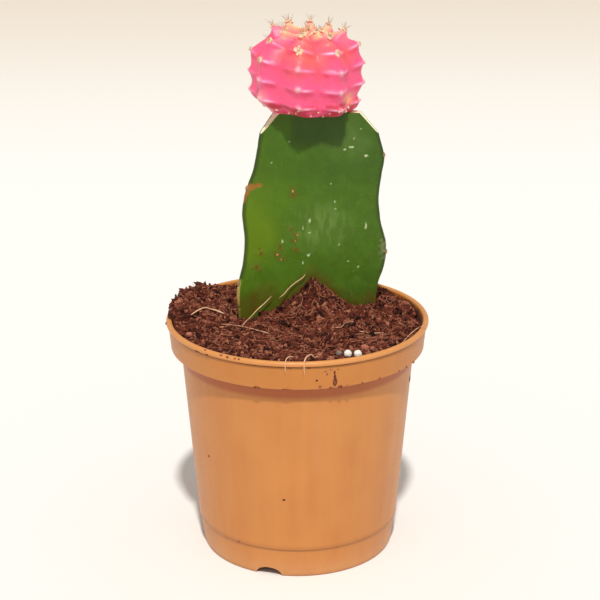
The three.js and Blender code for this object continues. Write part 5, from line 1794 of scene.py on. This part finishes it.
class MOONCACTUS_OT_pebbles(bpy.types.Operator):
    """Shapes the beads and the grit that lie on the soil"""

    bl_idname = "moon_cactus.pebbles"
    bl_label = "Beads and grit"

    def execute(self, context):
        settings = settings_of(context).trim
        white = granule("perlite bead, expanded", settings.bead, hex_linear("#D8CFC4"), 0.5, 0.7)
        grey = granule("feed bead, weathered", settings.grey_bead, hex_linear("#5E5048"), 0.5, 0.6)
        red = granule("fired clay grit", settings.grit, hex_linear("#7A3A2A"), 0.4, 0.85)
        finishes = {"white": (white, "white_bead"), "grey": (grey, "grey_bead"), "red": (red, "red_grit")}
        base, faces = ball(5)
        for seed, (name, (x, y, radius)) in enumerate(PEBBLES.items()):
            kind = name.split("_")[0]
            material, slot = finishes[kind]
            centre = np.array((x, y, float(soil_height(x, y)) + BEAD_RISE * radius))
            size = np.full(3, radius)
            dents = 0.05 * lumps(base * 2 + seed, 1.0) + 0.02 * lumps(base * 6 + seed, 1.0)
            if kind == "red":
                size = radius * np.array((1.1, 0.85, 0.8))
                dents = 0.16 * lumps(base * 1.6 + seed, 1.0) + 0.06 * lumps(base * 5 + seed, 1.0) - 0.06
            points = base * size * (0.97 + dents)[:, None] + centre
            new_piece(name + "_piece", points, faces, material, (name,))
        return {"FINISHED"}


class MOONCACTUS_OT_stage(bpy.types.Operator):
    """Sets the pale floor, the soft lights and the camera"""

    bl_idname = "moon_cactus.stage"
    bl_label = "Stage"

    def execute(self, context):
        settings = settings_of(context).stage
        self.floor(settings)
        self.light(context.scene, settings)
        self.camera(context.scene)
        return {"FINISHED"}

    @staticmethod
    def floor(settings):
        """A wide round sheet on the ground."""
        angles = angles_round(96)
        rim = np.stack((np.cos(angles), np.sin(angles), 0 * angles), axis=1) * settings.floor_radius / MM
        floor = new_object("floor", rim, [tuple(range(len(rim)))])
        floor.data.materials.append(matt_paper(settings))

    @staticmethod
    def light(scene, settings):
        """One soft high sun from behind the camera, and even light from all round."""
        sun = bpy.data.lights.new("sun", "SUN")
        sun.energy = settings.sun_strength
        sun.angle = math.radians(SUN_WIDTH)
        sun.color = hex_linear("#FFFCF7")[:3]
        holder = bpy.data.objects.new("sun", sun)
        holder.rotation_euler = Vector(SUN_WAY).to_track_quat("-Z", "Y").to_euler()
        scene.collection.objects.link(holder)
        world = bpy.data.worlds.new("sky")
        world.use_nodes = True
        world.node_tree.nodes.clear()
        add = partial(add_node, world.node_tree)
        lit = add("Background", {"Color": settings.sky, "Strength": settings.sky_strength})
        seen = add("Background", {"Color": hex_linear("#F3EADC"), "Strength": 1.0})
        path = add("LightPath", {})
        # The eye sees a warmer sky than the one that lights the plant.
        mix = add("MixShader", {0: path.outputs["Is Camera Ray"], 1: lit, 2: seen})
        add("OutputWorld", {"Surface": mix})
        scene.world = world
        scene.view_settings.view_transform = "Standard"

    @staticmethod
    def camera(scene):
        """The camera at the photograph's place, looking down at the pot."""
        data = bpy.data.cameras.new("camera")
        data.sensor_width = SENSOR_WIDTH
        data.lens = FOCAL_PIXELS * SENSOR_WIDTH / IMAGE_PIXELS
        camera = bpy.data.objects.new("camera", data)
        turn = (Matrix.Rotation(-CAMERA_YAW, 4, "Z") @ Matrix.Rotation(math.pi / 2 - CAMERA_PITCH, 4, "X")
                @ Matrix.Rotation(CAMERA_ROLL, 4, "Z"))
        camera.matrix_world = Matrix.Translation(Vector(CAMERA_PLACE) * MM) @ turn
        scene.collection.objects.link(camera)
        scene.camera = camera


class CactusSettings(bpy.types.PropertyGroup):
    pot: PointerProperty(type=PotSettings, name="Pot", description="Sizes and colours of the pot")
    soil: PointerProperty(type=SoilSettings, name="Soil", description="Relief and colours of the soil")
    stem: PointerProperty(type=StemSettings, name="Stem", description="Relief and colours of the stem")
    globe: PointerProperty(type=GlobeSettings, name="Globe", description="Relief and colours of the globe")
    trim: PointerProperty(type=TrimSettings, name="Trim", description="Fibres, beads and grit")
    stage: PointerProperty(type=StageSettings, name="Stage", description="Floor and lights")


class MOONCACTUS_PT_panel(bpy.types.Panel):
    """Lists the pieces of the cactus and what can be changed about them"""

    bl_label = "Potted Moon Cactus"
    bl_idname = "MOONCACTUS_PT_panel"
    bl_space_type = "VIEW_3D"
    bl_region_type = "UI"
    bl_category = "Cactus"

    def draw(self, context):
        settings = settings_of(context)
        for group, operators in PANEL_ROWS.items():
            box = self.layout.box()
            part = getattr(settings, group)
            for key in part.bl_rna.properties.keys():
                if key not in ("rna_type", "name"):
                    box.prop(part, key)
            for operator in operators:
                box.operator(operator.bl_idname)


PANEL_ROWS = {
    "stage": (MOONCACTUS_OT_stage,),
    "pot": (MOONCACTUS_OT_pot, MOONCACTUS_OT_pot_marks),
    "soil": (MOONCACTUS_OT_soil, MOONCACTUS_OT_crumbs, MOONCACTUS_OT_strands),
    "stem": (MOONCACTUS_OT_stem,),
    "globe": (MOONCACTUS_OT_globe, MOONCACTUS_OT_globe_spines),
    "trim": (MOONCACTUS_OT_fibres, MOONCACTUS_OT_pebbles),
}
CLASSES = (
    PotSettings, SoilSettings, StemSettings, GlobeSettings, TrimSettings, StageSettings, CactusSettings,
    *(operator for row in PANEL_ROWS.values() for operator in row), MOONCACTUS_PT_panel,
)


def register():
    for cls in CLASSES:
        bpy.utils.register_class(cls)
    bpy.types.Scene.moon_cactus = PointerProperty(type=CactusSettings)


def unregister():
    del bpy.types.Scene.moon_cactus
    for cls in reversed(CLASSES):
        bpy.utils.unregister_class(cls)


def main():
    register()
    bpy.ops.moon_cactus.stage()
    bpy.ops.moon_cactus.pot()
    bpy.ops.moon_cactus.pot_marks()
    bpy.ops.moon_cactus.soil()
    bpy.ops.moon_cactus.crumbs()
    bpy.ops.moon_cactus.strands()
    bpy.ops.moon_cactus.stem()
    bpy.ops.moon_cactus.globe()
    bpy.ops.moon_cactus.globe_spines()
    bpy.ops.moon_cactus.fibres()
    bpy.ops.moon_cactus.pebbles()


if __name__ == "__main__":
    main()
